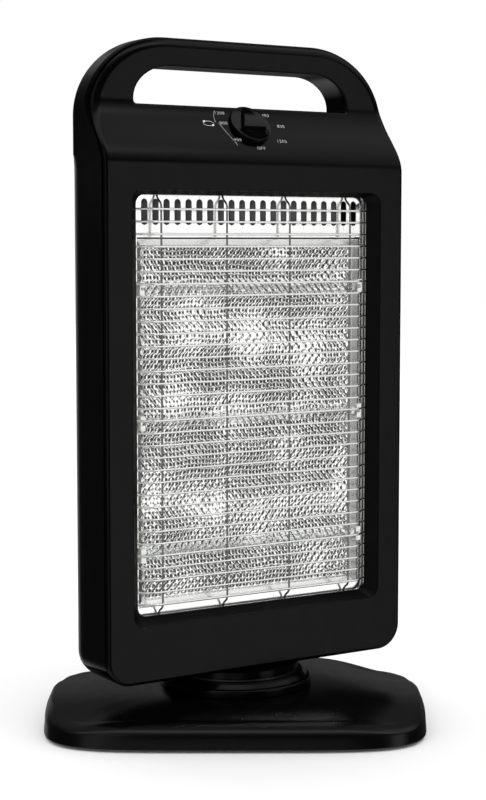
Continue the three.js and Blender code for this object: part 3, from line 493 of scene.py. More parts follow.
windowForm = dict(half=111.4, low=88.9, high=412.8, corner=9.0, rimHalf=104.0, rimLow=94.9, rimHigh=409.5,
                  rimCorner=7.0, rimDepth=8.8, edge=1.0)


# the window's outline at a share of the way down its slanted wall
def windowLoop(share, grow=0.0):
    w = windowForm
    half, low, high, corner = (w[outer] + (w[rim] - w[outer]) * share for outer, rim in (
        ("half", "rimHalf"), ("low", "rimLow"), ("high", "rimHigh"), ("corner", "rimCorner")))
    return evenLoop(half + grow, low - grow, high + grow, corner + grow, (4, 10, 4, 10))


slopeLevels = np.linspace(headForm["slopeLow"] - 4, headForm["slopeHigh"] + 2, 45)


# front moulding: flat panel, S-shaped slope and handle, edges turned by a rounding that grows
# from 3 mm on the panel to 9 mm on the handle
def buildFrontShell():
    h, w = headForm, windowForm
    rows = rightSide[:, 1]
    cornerRows = rows[rows < h["bottom"] + h["lowCorner"] + 1]
    crownRows = rows[rows > h["top"] - h["cornerHigh"] - 1]
    gw, go = w["edge"], openForm["edge"]
    low, high, c = w["low"] - gw, w["high"] + gw, w["corner"] + gw
    levels = np.unique(np.concatenate([cornerRows, np.linspace(rows[0], low, 8)]))
    sheets = fullRows(levels[levels <= low], innerHalf, frontY)
    sheets += fullRows(holeLevels(low, high, c, c, 12, cornerRows), innerHalf, frontY,
                       hole=lambda z: holeHalf(z, w["half"] + gw, low, high, c, c, c))
    levels = np.concatenate([slopeLevels, crownRows])
    sheets += fullRows(rowsBetween(high, openLow, levels), innerHalf, frontY)
    sheets += fullRows(openRows(10, levels), innerHalf, frontY, hole=openHalf, columns=3)
    levels = np.concatenate([crownRows, np.linspace(openHigh, rows[-1], 6)])
    sheets += fullRows(rowsBetween(openHigh, rows[-1], levels), innerHalf, frontY)

    # outer rounding, from the flat front out to the seam, then the seam's groove
    limit = turnAt(h["plate"], loopR)
    sheets.append(band([roundingLoop(loopR, limit * t) for t in np.linspace(0, 1, 12)]))
    edge = insetAt(h["plate"], loopR)
    rearEdge = insetAt(h["plate"] + h["seam"], loopR)
    sheets.append(band([offsetLoop(edge + d, behind(h["plate"])) for d in (0, 0.4, h["grooveDepth"])]))
    sheets.append(band([offsetLoop(edge + h["grooveDepth"], behind(h["plate"])),
                        offsetLoop(rearEdge + h["grooveDepth"], behind(h["plate"] + h["seam"] + 1.0))]))

    # handle opening: a rounded edge, then the wall through the plate
    lip = [lift(openLoop(go * (1 - math.sin(a))), behind(go * (1 - math.cos(a)))) for a in quarter(7)]
    wall = [lift(openLoop(), behind(go)), lift(openLoop(), behind(h["plate"]))]
    sheets += [band(lip, inward=True), band(wall, inward=True)]

    # window: a small rounded edge, the slanted wall, then the rim turned back
    lip = [lift(windowLoop(0, gw * (1 - math.sin(a))), behind(gw * (1 - math.cos(a)))) for a in quarter(7)]
    wall = [lift(windowLoop(t), behind(gw + (w["rimDepth"] - gw) * t)) for t in np.linspace(0, 1, 4)]
    rim = [lift(windowLoop(1, g), behind(w["rimDepth"] + y)) for g, y in ((0, 0), (0.4, 0.5), (2.0, 0.6))]
    sheets += [band(lip, inward=True), band(wall, inward=True, slot=1), band(rim, inward=True, slot=1)]
    makePiece("frontShell", sheets, "head", [glossAbs, wallAbs], "front_shell", "black_casing")


buildFrontShell()
print("front shell made")


# back surface: flat to the step, a quarter ellipse over it, then the handle slab
def backY(z):
    h = headForm
    start = h["stepTop"] - h["stepRound"]
    share = np.clip((np.asarray(z, float) - start) / h["stepRound"], 0, 1)
    return h["handleBack"] + (h["rear"] - h["handleBack"]) * np.sqrt(1 - share ** 2)


# how far a round corner stands back at a distance from its end: the rest of a circle
def roundBack(radius, distance):
    distance = np.clip(distance, 0, radius)
    return radius - np.sqrt(np.maximum(0, radius ** 2 - (radius - distance) ** 2))


ventForm = dict(near=6.0, wide=84.0, high=4.0, pitch=9.0, upper=7, upperStart=352.0, lower=4, lowerStart=66.0,
                margin=2.4, depth=2.6, edge=0.5, corner=1.9)


# the back's flat part: rows between the vents' zones, fields beside the vents, and a cell for each
# vent, whose ring of faces runs from the vent's rounded edge straight out to the cell's rectangle
def ventedBack(levels, width, deep):
    h, v = headForm, ventForm
    rear = h["rear"]
    half = h["half"] - (rear - h["sideBack"])
    cellLow = -0.5 * (v["pitch"] - v["high"])
    lowZone, highZone = ((begin + cellLow, begin + cellLow + count * v["pitch"]) for begin, count in (
        (v["lowerStart"], v["lower"]), (v["upperStart"], v["upper"])))
    sheets = []
    for a, b in ((h["bottom"], lowZone[0]), (lowZone[1], highZone[0]), (highZone[1], h["stepTop"])):
        sheets += fullRows(rowsBetween(a, b, levels), width, deep, back=True)
    inner, outer = v["near"] - v["margin"], v["near"] + v["wide"] + v["margin"]
    for zone in (lowZone, highZone):
        for x0, x1 in ((-half, -outer), (-inner, inner), (outer, half)):
            sheets.append(rowSheet(zone, x0, x1, rear, back=True))

    size = np.array([v["wide"], v["high"]]) / 2
    hole = evenLoop(size[0], -size[1], size[1], v["corner"], (6, 6, 2, 6))
    cell = hole / np.max(np.abs(hole) / size, axis=1, keepdims=True)
    cell = cell * [(size[0] + v["margin"]) / size[0], v["pitch"] / v["high"]]
    grown = hole * ((size + v["edge"]) / size)
    starts = [v["upperStart"] + i * v["pitch"] for i in range(v["upper"])]
    starts += [v["lowerStart"] + i * v["pitch"] for i in range(v["lower"])]
    for z0 in starts:
        for sign in (-1, 1):
            place = np.array([sign * (v["near"] + size[0]), z0 + size[1]])
            lip = [lift(grown * (1 - t) + hole * t + place, rear - v["edge"] * (1 - math.sqrt(1 - t * t)))
                   for t in (0, 0.35, 0.7, 0.9, 1)]
            wall = [lift(hole + place, rear - y) for y in (v["edge"], v["depth"])]
            ring = [lift(cell + place, rear), lift(grown + place, rear)]
            sheets += [band(ring), band(lip), band(wall)]
    return sheets


# rear moulding: sides, large rear corners, the rounded step and the handle slab
def buildRearShell():
    h = headForm
    split = 462.0
    start = h["plate"] + h["seam"]

    # one side of the body below the slab, from the seam round to the back's flat part
    def sideRows(levels, sign):
        z = np.asarray(levels, float)
        half = h["half"] - roundBack(h["lowCorner"], z - h["bottom"])
        depth = backY(z) - roundBack(h["edge"], z - h["bottom"])
        bulge = (backY(z) - h["handleBack"]) / (h["rear"] - h["handleBack"])
        r = h["rearEdge"] + (h["rear"] - h["sideBack"] - h["rearEdge"]) * bulge
        seamY, radius = frontY(z) + start, edgeRadius(z)
        seamX = insetAt(start, radius)
        turn = np.where(radius > start, frontY(z) + radius, seamY + 0.01)
        path = [(half - seamX, seamY), (half - seamX * 0.35, seamY * 0.4 + turn * 0.6),
                (half, np.maximum(turn, seamY + 0.02)), (half, (turn + depth - r) / 2)]
        path += [(half - r + r * math.cos(a), depth - r + r * math.sin(a)) for a in quarter(15)]
        rows = np.stack([np.stack(place, 1) for place in path], 1) * [sign, 1]
        z = np.broadcast_to(z[:, None, None], rows.shape[:2] + (1,))
        return sheet(np.concatenate([rows, z], 2), flip=sign < 0), half - r, depth

    bottomLevels = h["bottom"] + h["lowCorner"] * (1 - np.cos(quarter(16)))
    bottomLevels = np.concatenate([bottomLevels, h["bottom"] + np.array([0.05, 0.2, 0.5, 1, 1.6, 2.3, 3])])
    stepStart = h["stepTop"] - h["stepRound"]
    stepLevels = stepStart + h["stepRound"] * np.sin(quarter(15))
    lowSet = np.unique(np.round(np.concatenate([bottomLevels, np.linspace(70, stepStart, 6), stepLevels,
                                                slopeLevels[slopeLevels < h["stepTop"]]]), 4))
    highSet = np.round(rowsBetween(h["stepTop"], split, slopeLevels), 4)
    sheets = []
    for levels in (lowSet, highSet):
        for sign in (1, -1):
            side, flatHalf, depth = sideRows(levels, sign)
            sheets.append(side)
        width = lambda z: np.interp(z, levels, flatHalf)
        deep = lambda z: np.interp(z, levels, depth)
        if levels is lowSet:
            sheets += ventedBack(levels, width, deep)
        else:
            sheets += fullRows(levels, width, deep, back=True)

    # slab: side, 5 mm rear rounding and flat back, following the outline over the top
    top = loopPts[:, 1] >= split - 1e-6
    pts = np.concatenate([[[h["half"], split]], loopPts[top], [[-h["half"], split]]])
    nrm = np.concatenate([[[1, 0]], loopNrm[top], [[-1, 0]]])
    radius = edgeRadius(pts[:, 1])
    first = turnAt(start, radius)
    r, flat = h["rearEdge"], h["handleBack"]
    strip = [roundingLoop(radius, first + (np.pi / 2 - first) * t, pts, nrm) for t in np.linspace(0, 1, 7)]
    strip += [offsetLoop(r * (1 - math.cos(a)), flat - r + r * math.sin(a), pts, nrm) for a in quarter(9)]
    sheets.append(sheet(np.stack(strip, 1)))
    right = rightHalf(pts - nrm * r)
    rows = right[:, 1]
    slabHalf = lambda z: np.interp(z, rows, right[:, 0])
    sheets += fullRows(rowsBetween(split, openLow, rows), slabHalf, flat, back=True)
    sheets += fullRows(openRows(6, rows), slabHalf, flat, back=True, hole=openHalf)
    sheets += fullRows(rowsBetween(openHigh, rows[-1], rows), slabHalf, flat, back=True)

    # the opening's walls, from a hairline behind the front plate to the rounded rear edge
    go = openForm["edge"]
    wall = [lift(openLoop(), behind(h["plate"] + 0.3)), lift(openLoop(), flat - go)]
    lip = [lift(openLoop(go * (1 - math.cos(a))), flat - go * (1 - math.sin(a))) for a in quarter(7)]
    hair = [lift(openLoop(g), behind(h["plate"] + d)) for g, d in ((0, 0), (0.5, 0), (0.5, 0.3), (0, 0.3))]
    sheets += [band(loops, inward=True) for loops in (wall, lip, hair[:2], hair[1:3], hair[2:])]

    # the seam's rear edge, all round the head
    edge = insetAt(start, loopR)
    sheets.append(band([offsetLoop(edge + inset, behind(start + y))
                        for inset, y in ((h["grooveDepth"] + 0.8, 0.3), (0.3, 0), (0, 0))]))

    # underside, rows of constant depth between the two sides
    ring = sideRows([h["bottom"]], 1)[0]["points"][0]
    sheets.append(sheet(np.stack([ring * [-1, 1, 1], ring], 1)))
    makePiece("rearShell", sheets, "head", glossAbs, "rear_shell", "black_casing")


buildRearShell()
print("rear shell made")

# ---- base ----

baseForm = dict(half=147.5, depth=113.0, power=5.0, top=26.5, seat=64.0, turn=32.0, points=240, crowd=0.14,
                ridge=20.5, cornerFall=3.5, sideRise=3.5, droop=6.0, wallIn=0.7, wallTop=10.0, shoulder=12.0,
                frontShoulder=4.0, sideShoulder=-6.0, rearShoulder=3.0)


# outline of the base: a superellipse drawn in by an inset
def baseOutline(t, inset):
    b = baseForm
    c, s = np.cos(t), np.sin(t)
    x = (b["half"] - inset) * np.sign(c) * np.abs(c) ** (2 / b["power"])
    y = (b["depth"] - inset) * np.sign(s) * np.abs(s) ** (2 / b["power"])
    return x, y


# from the base's own axes to the rest pose, in which the base stands turned from the head
def turnBase(points):
    a = -math.radians(baseForm["turn"])
    points = np.asarray(points, float)
    x = points[..., 0] * math.cos(a) - points[..., 1] * math.sin(a)
    y = points[..., 0] * math.sin(a) + points[..., 1] * math.cos(a)
    return np.stack([x, y, points[..., 2]], -1)


# cover: a near-upright wall, a soft shoulder and a dome that rises to the swivel seat; its ridge and
# shoulder rise a little at the sides and fall towards the two rear corners
def buildBaseCover():
    b = baseForm
    t = np.arange(b["points"]) * 2 * np.pi / b["points"]
    t = t - b["crowd"] * np.sin(4 * t)
    wide, deep = baseOutline(t, 0)
    # shares of the way round: the two upright sides, and the two rear corners
    side = smooth((np.abs(wide) - 138) / 8) * smooth((60 - deep) / 70) * smooth((deep + 95) / 60)
    droop = smooth((deep + 5) / 95) * smooth((np.abs(wide) - 70) / 65)
    ridge = b["ridge"] - b["cornerFall"] * np.sin(2 * t) ** 4 + b["sideRise"] * side - b["droop"] * droop
    wallTop = b["wallTop"] + b["sideRise"] * side - 0.5 * b["droop"] * droop
    inset = (b["shoulder"] + b["frontShoulder"] * np.maximum(0, -np.sin(t)) ** 4 + b["sideShoulder"] * side
             + b["rearShoulder"] * droop)
    rings = []

    def ring(x, y, z):
        rings.append(np.stack([x, y, z + 0 * x], 1))

    for i, z in ((3.0, 3.2), (1.2, 2.2), (0.5, 2.0), (0.1, 2.3), (0, 3.0), (0.2, 6), (0.5, 9)):
        ring(*baseOutline(t, i), z)
    # shoulder: a quarter ellipse from the wall to the ridge
    for a in quarter(14):
        place = baseOutline(t, b["wallIn"] + (inset - b["wallIn"]) * (1 - math.cos(a)))
        ring(*place, wallTop + (ridge - wallTop) * math.sin(a))
    x0, y0 = baseOutline(t, inset)
    length = np.hypot(x0, y0)
    for share in np.linspace(0.06, 1, 18):
        scale = 1 + share * (b["seat"] / length - 1)
        ring(x0 * scale, y0 * scale, ridge + (b["top"] - ridge) * (1 - (1 - share) ** 2))
    for radius in (48, 24, 8):
        ring(x0 * (radius / length), y0 * (radius / length), b["top"])
    makePiece("baseCover", [sheet(turnBase(np.stack(rings, 1)), closedU=True)], "base", baseAbs,
              "base_cover", "black_casing")


buildBaseCover()

swivelForm = dict(bore=8.0, floor=26.8, seat=60.0, wallTop=31.2, rounding=2.0, step=(56.5, 33.5),
                  cone=(53.6, 36.3), tip=1.0, well=44.0, wellFloor=29.0, ringIn=44.5, ringOut=49.5,
                  ringLow=37.6, ringHigh=39.0, neck=50.0, neckIn=46.0, neckLow=39.3, neckHigh=44.7,
                  neckFloor=42.5, chamfer=0.4)


# straight runs from each corner to the next
def straights(*corners):
    return [list(pair) for pair in zip(corners, corners[1:])]


# swivel seat: a disc with a rounded edge, a shallow cone and a top ring; slide ring and neck above it
def buildSwivel():
    s = swivelForm
    floor, seat, well, top = s["floor"], s["seat"], s["well"], s["cone"][1] + s["tip"]
    edge, cone = seat - s["rounding"], s["cone"][0] - s["tip"]
    runs = straights((s["bore"], floor), (seat - s["chamfer"], floor), (seat, floor + s["chamfer"]),
                     (seat, s["wallTop"]))
    runs += [arc(edge, s["wallTop"], s["rounding"], 0, 90)]
    runs += straights((edge, s["wallTop"] + s["rounding"]), s["step"], s["cone"])
    runs += [arc(cone, s["cone"][1], s["tip"], 20, 90, 5)]
    runs += straights((cone, top), (well, top), (well, s["wellFloor"]), (s["bore"], s["wellFloor"]))
    makePiece("swivelSeat", turnedRuns(runs), "base", glossAbs, "swivel_seat", "black_casing")
    corners = [(s[radius], s[height]) for radius, height in (("ringIn", "ringLow"), ("ringOut", "ringLow"),
                                                             ("ringOut", "ringHigh"), ("ringIn", "ringHigh"))]
    makePiece("slideRing", turnedRuns(straights(*corners, corners[0])), "base", blackAcetal, "slide_ring",
              "white_plastic")
    low, neckIn, rim = s["neckLow"], s["neckIn"], s["neck"] - s["chamfer"]
    runs = straights((neckIn, low), (rim, low)) + [arc(rim, low + s["chamfer"], s["chamfer"], -90, 0, 4)]
    runs += straights((s["neck"], low + s["chamfer"]), (s["neck"], s["neckHigh"]), (s["bore"], s["neckHigh"]))
    runs += straights((s["bore"], s["neckFloor"]), (neckIn, s["neckFloor"]), (neckIn, low))
    makePiece("neckCollar", turnedRuns(runs), "head", glossAbs, "neck_collar", "black_casing")


buildSwivel()
print("base made")

# ---- reflector: slotted frame, embossed tray ----

frameForm = dict(front=-25.2, thick=0.8, half=112.0, low=86.9, high=417.5, cutHalf=101.0, cutLow=100.3,
                 cutHigh=378.5, slots=21, pitch=9.46, slotWide=5.2, slotLow=387.4, slotHigh=406.5, lip=0.25,
                 margin=3.2)


# frame: a flat sheet around the tray's cut-out; each slot sits in a cell as wide as the pitch, whose
# ring of faces runs from the slot's rounded outline straight out to the cell's rectangle
def buildReflectorFrame():
    f = frameForm
    y0, y1 = f["front"], f["front"] + f["thick"]
    cellLow, cellHigh = f["slotLow"] - f["margin"], f["slotHigh"] + f["margin"]
    reach, side, cut = f["slots"] * f["pitch"] / 2, f["half"], f["cutHalf"]
    fields = ((-side, side, f["low"], f["cutLow"]), (-side, -cut, f["cutLow"], f["cutHigh"]),
              (cut, side, f["cutLow"], f["cutHigh"]), (-side, side, f["cutHigh"], cellLow),
              (-side, -reach, cellLow, cellHigh), (reach, side, cellLow, cellHigh),
              (-side, side, cellHigh, f["high"]))
    sheets = [rowSheet((z0, z1), x0, x1, y, back) for y, back in ((y0, False), (y1, True))
              for x0, x1, z0, z1 in fields]
    radius = f["slotWide"] / 2
    slot = evenLoop(radius, f["slotLow"], f["slotHigh"], radius, (1, 9, 5, 9))
    middle = np.array([0, (f["slotLow"] + f["slotHigh"]) / 2])
    half = np.array([f["pitch"] / 2, (cellHigh - cellLow) / 2])
    ray = slot - middle
    cell = middle + ray / np.max(np.abs(ray) / half, axis=1, keepdims=True)
    grown = middle + ray * (1 + f["lip"] / np.maximum(np.linalg.norm(ray, axis=1, keepdims=True), radius))
    for i in range(f["slots"]):
        place = np.array([(i - (f["slots"] - 1) / 2) * f["pitch"], 0])
        lip = [lift(grown * (1 - t) + slot * t + place, y0 + f["lip"] * (1 - math.sqrt(1 - t * t)))
               for t in (0, 0.5, 0.85, 1)]
        sheets += [band(loops, inward=True) for loops in (
            [lift(cell + place, y0), lift(grown + place, y0)], lip + [lift(slot + place, y1)],
            [lift(slot + place, y1), lift(cell + place, y1)])]
    for half, low, high, inward in ((side, f["low"], f["high"], False),
                                    (cut, f["cutLow"], f["cutHigh"], True)):
        loop = evenLoop(half, low, high, 0.01, (8, 1, 8, 1))
        sheets.append(band([lift(loop, y0), lift(loop, y1)], inward))
    makePiece("reflectorFrame", sheets, "head", satinSheet, "reflector_frame", "mirror_sheet")


trayForm = dict(half=101.0, low=100.3, high=376.9, front=-23.9, depth=5.1, slant=5.5, shelf=4.4,
                shelfDepth=2.3, flange=6.0, thick=0.8, curl=(-1.2, 2.4), cellWide=6.2, cellHigh=7.4,
                emboss=0.42, crease=0.02, lean=0.35, calm=((0.42, 302, 20), (0.25, 250, 10), (0.42, 172, 16)),
                wander=0.6, sway=0.6, swayPitch=150.0, columns=280, rows=345)


# embossed floor of the tray: two families of creased lines cross on the slant, each line one minus the
# size of a sine; they wander a little, lean to one family or the other and lie flatter in calm bands
# (share, height, reach), and the whole floor sways slowly between the lamps; the numbers that x and z
# are divided by set the waves' lengths in mm, all different so that no two waves keep step
def trayFloor(x, z):
    t = trayForm
    middle = (t["low"] + t["high"]) / 2
    u = x + t["wander"] * np.sin(2 * np.pi * z / 31) + 0.8 * t["wander"] * np.sin(2 * np.pi * x / 47 + z / 19)
    v = z + t["wander"] * np.sin(2 * np.pi * x / 37 + 0.7) + 0.6 * t["wander"] * np.sin(z / 11 + x / 23)
    rising, falling = (
        1 - np.sqrt(np.sin(np.pi * (u / t["cellWide"] + way * v / t["cellHigh"])) ** 2 + t["crease"])
        for way in (1, -1))
    uneven = 1 + 0.35 * np.sin(x / 13.7 + z / 41) * np.sin(z / 17.3 - x / 29)
    lean = t["lean"] * np.sin(z / 6.7 + 1.6 * np.sin(x / 38 + z / 53))
    calm = sum(share * np.exp(-((z - height + 0.06 * x) / reach) ** 2) for share, height, reach in t["calm"])
    bump = t["emboss"] * uneven * (1 - calm) * ((1 + lean) * rising + (1 - lean) * falling)
    edge = np.minimum(t["half"] - np.abs(x), np.minimum(z - t["low"], t["high"] - z)) - t["slant"]
    fade = smooth(edge / 1.5)
    sway = t["sway"] * np.cos(2 * np.pi * (z - middle) / t["swayPitch"]) * smooth(edge / 40)
    dents = 0.3 * np.sin(x / 9.3 + 1.3) * np.sin(z / 7.1 + 0.5) + 0.22 * np.sin(x / 5.2 - z / 8.3)
    return t["front"] + t["depth"] - (bump + sway + 0.5 * dents * smooth(edge / 12)) * fade


# tray: the floor with normals from its slopes, four walls round it and a plain back
def buildTray():
    t = trayForm
    inX, inLow, inHigh = t["half"] - t["slant"], t["low"] + t["slant"], t["high"] - t["slant"]

    def grid(columns, rows):
        return np.meshgrid(np.linspace(-inX, inX, columns), np.linspace(inLow, inHigh, rows))

    x, z = grid(t["columns"], t["rows"])
    small = 0.05  # slopes from a short step, so that the shading keeps the full relief
    slopeX = (trayFloor(x + small, z) - trayFloor(x - small, z)) / (2 * small)
    slopeZ = (trayFloor(x, z + small) - trayFloor(x, z - small)) / (2 * small)
    normal = np.stack([slopeX, -np.ones(x.shape), slopeZ], -1)
    normal /= np.linalg.norm(normal, axis=2, keepdims=True)
    sheets = [sheet(np.stack([x, trayFloor(x, z), z], -1), flip=True, normals=normal)]

    # four walls as profiles of (way in, depth): a shallow shelf and a short steep step to the floor, a
    # curled rim, and behind them one sheet thickness
    out = np.array([(-1, -1), (1, -1), (1, 1), (-1, 1)])
    outer = np.array([(x * t["half"], t["low"] if z < 0 else t["high"]) for x, z in out])
    s = np.linspace(0, 1, 12)[:, None]
    d, c, shelf, slant, thick = t["depth"], t["shelfDepth"], t["shelf"], t["slant"], t["thick"]
    curl, flange = t["curl"], -t["flange"]
    face = [curl, (-0.5, 1.2), (-0.1, 0.25), (0.15, 0.02), (0.6, 0.2), (shelf, c), (shelf + 0.35, c + 0.3),
            (slant - 0.2, d - 0.3), (slant, d)]
    rim = [(flange, curl[1] + thick), (flange, curl[1]), curl]
    rear = [(slant, d + thick), (shelf, c + thick), (0.2, thick + 0.3), (-0.5, curl[1] + thick), rim[0]]
    for i in range(4):
        j = (i + 1) % 4
        for profile in (face, rim, rear):
            run = []
            for inward, y in profile:
                a, b = outer[i] - out[i] * inward, outer[j] - out[j] * inward
                run.append(lift(a * (1 - s) + b * s, t["front"] + y))
            sheets.append(sheet(np.stack(run, 0), slot=1))
    x, z = grid(30, 40)
    sheets.append(sheet(np.stack([x, 0 * x + t["front"] + d + thick, z], -1)))
    makePiece("embossedTray", sheets, "head", [mirrorSheet, satinSheet], "reflector_pan", "mirror_sheet")


shieldForm = dict(half=109.0, low=92.9, high=412.5, front=-24.1, deep=15.0, thick=0.8, round=1.5, corner=2.5)


# heat shield: an open box of thin sheet behind the tray, its bends rounded
def buildHeatShield():
    f = shieldForm

    def ring(inset, y):
        loop = evenLoop(f["half"] - inset, f["low"] + inset, f["high"] - inset, f["corner"], (8, 6, 12, 6))
        return lift(loop, f["front"] + y)

    def floorOf(inset, y, back):
        side = f["half"] - inset
        return rowSheet((f["low"] + inset, f["high"] - inset), -side, side, f["front"] + y, back)

    r, t, deep = f["round"], f["thick"], f["deep"]
    outside = [ring(0, 0), ring(0, deep - r)]
    outside += [ring(r * (1 - math.cos(a)), deep - r * (1 - math.sin(a))) for a in np.radians((30, 60, 90))]
    inside = [ring(t, 0), ring(t, deep - t - 0.4), ring(t + 0.4, deep - t)]
    sheets = [band(outside), band(inside, inward=True), band([ring(t, 0), ring(0, 0)]),
              floorOf(r, deep, True), floorOf(t, deep - t, False)]
    # the shield takes the darker mid grey steel colour
    makePiece("heatShield", sheets, "head", darkerShieldSteel, "heat_shield", "zinc_sheet")


buildHeatShield()
buildReflectorFrame()
buildTray()
print("reflector made")

# ---- wire grille ----

grilleForm = dict(radius=0.8, count=33, top=398.9, pitch=9.22, ahead=-35.5, endY=-28.2, bendFrom=94.6,
                  bendTo=103.0, reach=106.0, bendRound=2.4, uprights=(-85.2, -28.4, 28.4, 85.2), border=1.2,
                  borderHalf=106.0, borderLow=92.6, borderHigh=411.8, borderY=-27.4, borderCorner=7.0,
                  uprightLow=101.4, uprightHigh=403.0, uprightRound=2.0, bendRise=4.5)


# a bend between two straight runs: the straight line's share of the way, with rounded ends
def bendShare(distance, length, rounding):
    r = rounding / length

    def soft(s):
        return np.where(s < -r, 0, np.where(s > r, s, (s + r) ** 2 / (4 * r)))

    share = np.asarray(distance, float) / length
    return soft(share) - soft(share - 1)


# a run from the middle outward, with its mirror image before it
def mirrored(away, y):
    return np.concatenate([-away[:0:-1], away]), np.concatenate([y[:0:-1], y])


# grille: straight wires bent back at both ends, upright wires welded behind them, a border wire
def buildGrille():
    g = grilleForm
    reach, ahead = g["bendTo"] - g["bendFrom"], g["ahead"]
    near = np.linspace(g["bendFrom"] - g["bendRound"] - 1, g["bendTo"] + g["bendRound"], 15)
    x = np.concatenate([[0, 30, 60], near, [g["reach"]]])
    x, y = mirrored(x, ahead + (g["endY"] - ahead) * bendShare(x - g["bendFrom"], reach, g["bendRound"]))
    heights = g["top"] - np.arange(g["count"]) * g["pitch"]
    sheets = [tube(np.stack([x, y, np.full(len(x), z)], 1), g["radius"], 8) for z in heights]
    behindWires = ahead + 2 * g["radius"] - 0.15
    middle = (g["uprightLow"] + g["uprightHigh"]) / 2
    half = (g["uprightHigh"] - g["uprightLow"]) / 2
    away = np.concatenate([[0, 40, 80, 120], np.linspace(half - 3, half + g["bendRise"] + 2.4, 13),
                           [(g["borderHigh"] - g["borderLow"]) / 2]])
    share = bendShare(away - half, g["bendRise"], g["uprightRound"])
    away, y = mirrored(away, behindWires + (g["borderY"] - behindWires) * share)
    for place in g["uprights"]:
        path = np.stack([np.full(len(y), place), y, middle + away], 1)
        # slot 1 is the darker grey wire: painted shade on the uprights
        sheets.append(tube(path, g["radius"], 10, reference=(1, 0, 0), slot=1))
    loop = evenLoop(g["borderHalf"], g["borderLow"], g["borderHigh"], g["borderCorner"], (10, 9, 14, 9))
    sheets.append(tube(lift(loop, g["borderY"]), g["border"], 10, reference=(0, 1, 0), closed=True))
    makePiece("wireGrille", sheets, "head", [chromeWire, shadedUprightWire], "wire_grille", "chrome_wire")


buildGrille()
print("grille made")

# ---- lamps ----

lampForm = dict(count=3, top=339.6, pitch=99.6, y=-24.8, radius=4.2, wall=1.0, end=98.5, pinch=9.0,
                pinchThin=1.3, coilRadius=1.0, coilWire=0.17, coilPitch=2.1, coilEnd=88.0)


# lamp: a round tube whose ends are pressed flat; its depth shrinks to the seal over the pinch while its
# height grows by an eighth, and its filament is a helix with straight tails running into the seals
def buildLamps():
    f = lampForm
    end, pinch, coilEnd, radius, thin = f["end"], f["pinch"], f["coilEnd"], f["radius"], f["pinchThin"]
    x = np.concatenate([np.linspace(-end, -end + pinch + 3, 14), np.linspace(end - pinch - 3, end, 14)])
    shrink = smooth((end - np.abs(x)) / pinch)
    angle = np.arange(24) * 2 * np.pi / 24
    turns = 2 * coilEnd / f["coilPitch"]
    s = np.linspace(0, 1, int(turns * 9))
    a = 2 * np.pi * turns * s
    for i in range(f["count"]):
        z0 = f["top"] - i * f["pitch"]
        sheets = []
        for wall, inner in ((0.0, False), (f["wall"], True)):
            keep = np.abs(x) < end - (pinch * 0.55 if inner else -1)
            deep = np.maximum(thin + (radius - thin) * shrink - wall, 0.15)[keep, None]
            high = (radius * (1.12 - 0.12 * shrink) - wall)[keep, None]
            xs = x[keep, None]
            rings = np.stack([xs + 0 * angle, f["y"] + deep * np.sin(angle), z0 + high * np.cos(angle)], -1)
            tips = [np.broadcast_to([xs[k, 0], f["y"], z0], (1, 24, 3)) for k in (0, -1)]
            sheets.append(sheet(np.concatenate([tips[0], rings, tips[1]]), closedV=True, flip=not inner))
        makePiece(f"quartzTube{i + 1}", sheets, "head", quartzTube, f"halogen_tube_{i + 1}", "quartz")
        coil = np.stack([-coilEnd + 2 * coilEnd * s, f["y"] + f["coilRadius"] * np.cos(a),
                         z0 + f["coilRadius"] * np.sin(a)], 1)
        tail = np.array([[end - 2, f["y"], z0], [coilEnd + 2, f["y"], z0]])
        path = np.concatenate([tail * [-1, 1, 1], coil, tail[::-1]])
        makePiece(f"filamentCoil{i + 1}", [tube(path, f["coilWire"], 4, reference=(0.02, 1, 0.03))], "head",
                  coiledTungsten, f"filament_{i + 1}", "filament_wire")


buildLamps()


# a copy of a CAD node whose corners are merged and rounded by a bevel
def softenedNode(node, name, body, material, slotName, width):
    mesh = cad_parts[node].data.copy()
    mesh.name = name
    work = bmesh.new()
    work.from_mesh(mesh)
    bmesh.ops.remove_doubles(work, verts=work.verts, dist=1e-5)
    bmesh.ops.dissolve_limit(work, angle_limit=0.02, verts=work.verts, edges=work.edges)
    work.to_mesh(mesh)
    work.free()
    mesh.polygons.foreach_set("use_smooth", np.ones(len(mesh.polygons), bool))
    mesh.materials.clear()
    mesh.materials.append(material)
    piece = addPiece(name, mesh, body, slotName, node)
    bevel = piece.modifiers.new("rounding", "BEVEL")
    bevel.width = width * 0.001
    bevel.segments = 2
    bevel.limit_method = "ANGLE"
    bevel.angle_limit = math.radians(40)
    bevel.harden_normals = True


for i in range(lampForm["count"]):
    for side in ("left", "right"):
        softenedNode(f"tube_holder_{side}_{i + 1}", f"lampHolder{side.title()}{i + 1}", "head", firedSteatite,
                     "ceramic", 0.6)
print("lamps made")

# ---- screws ----


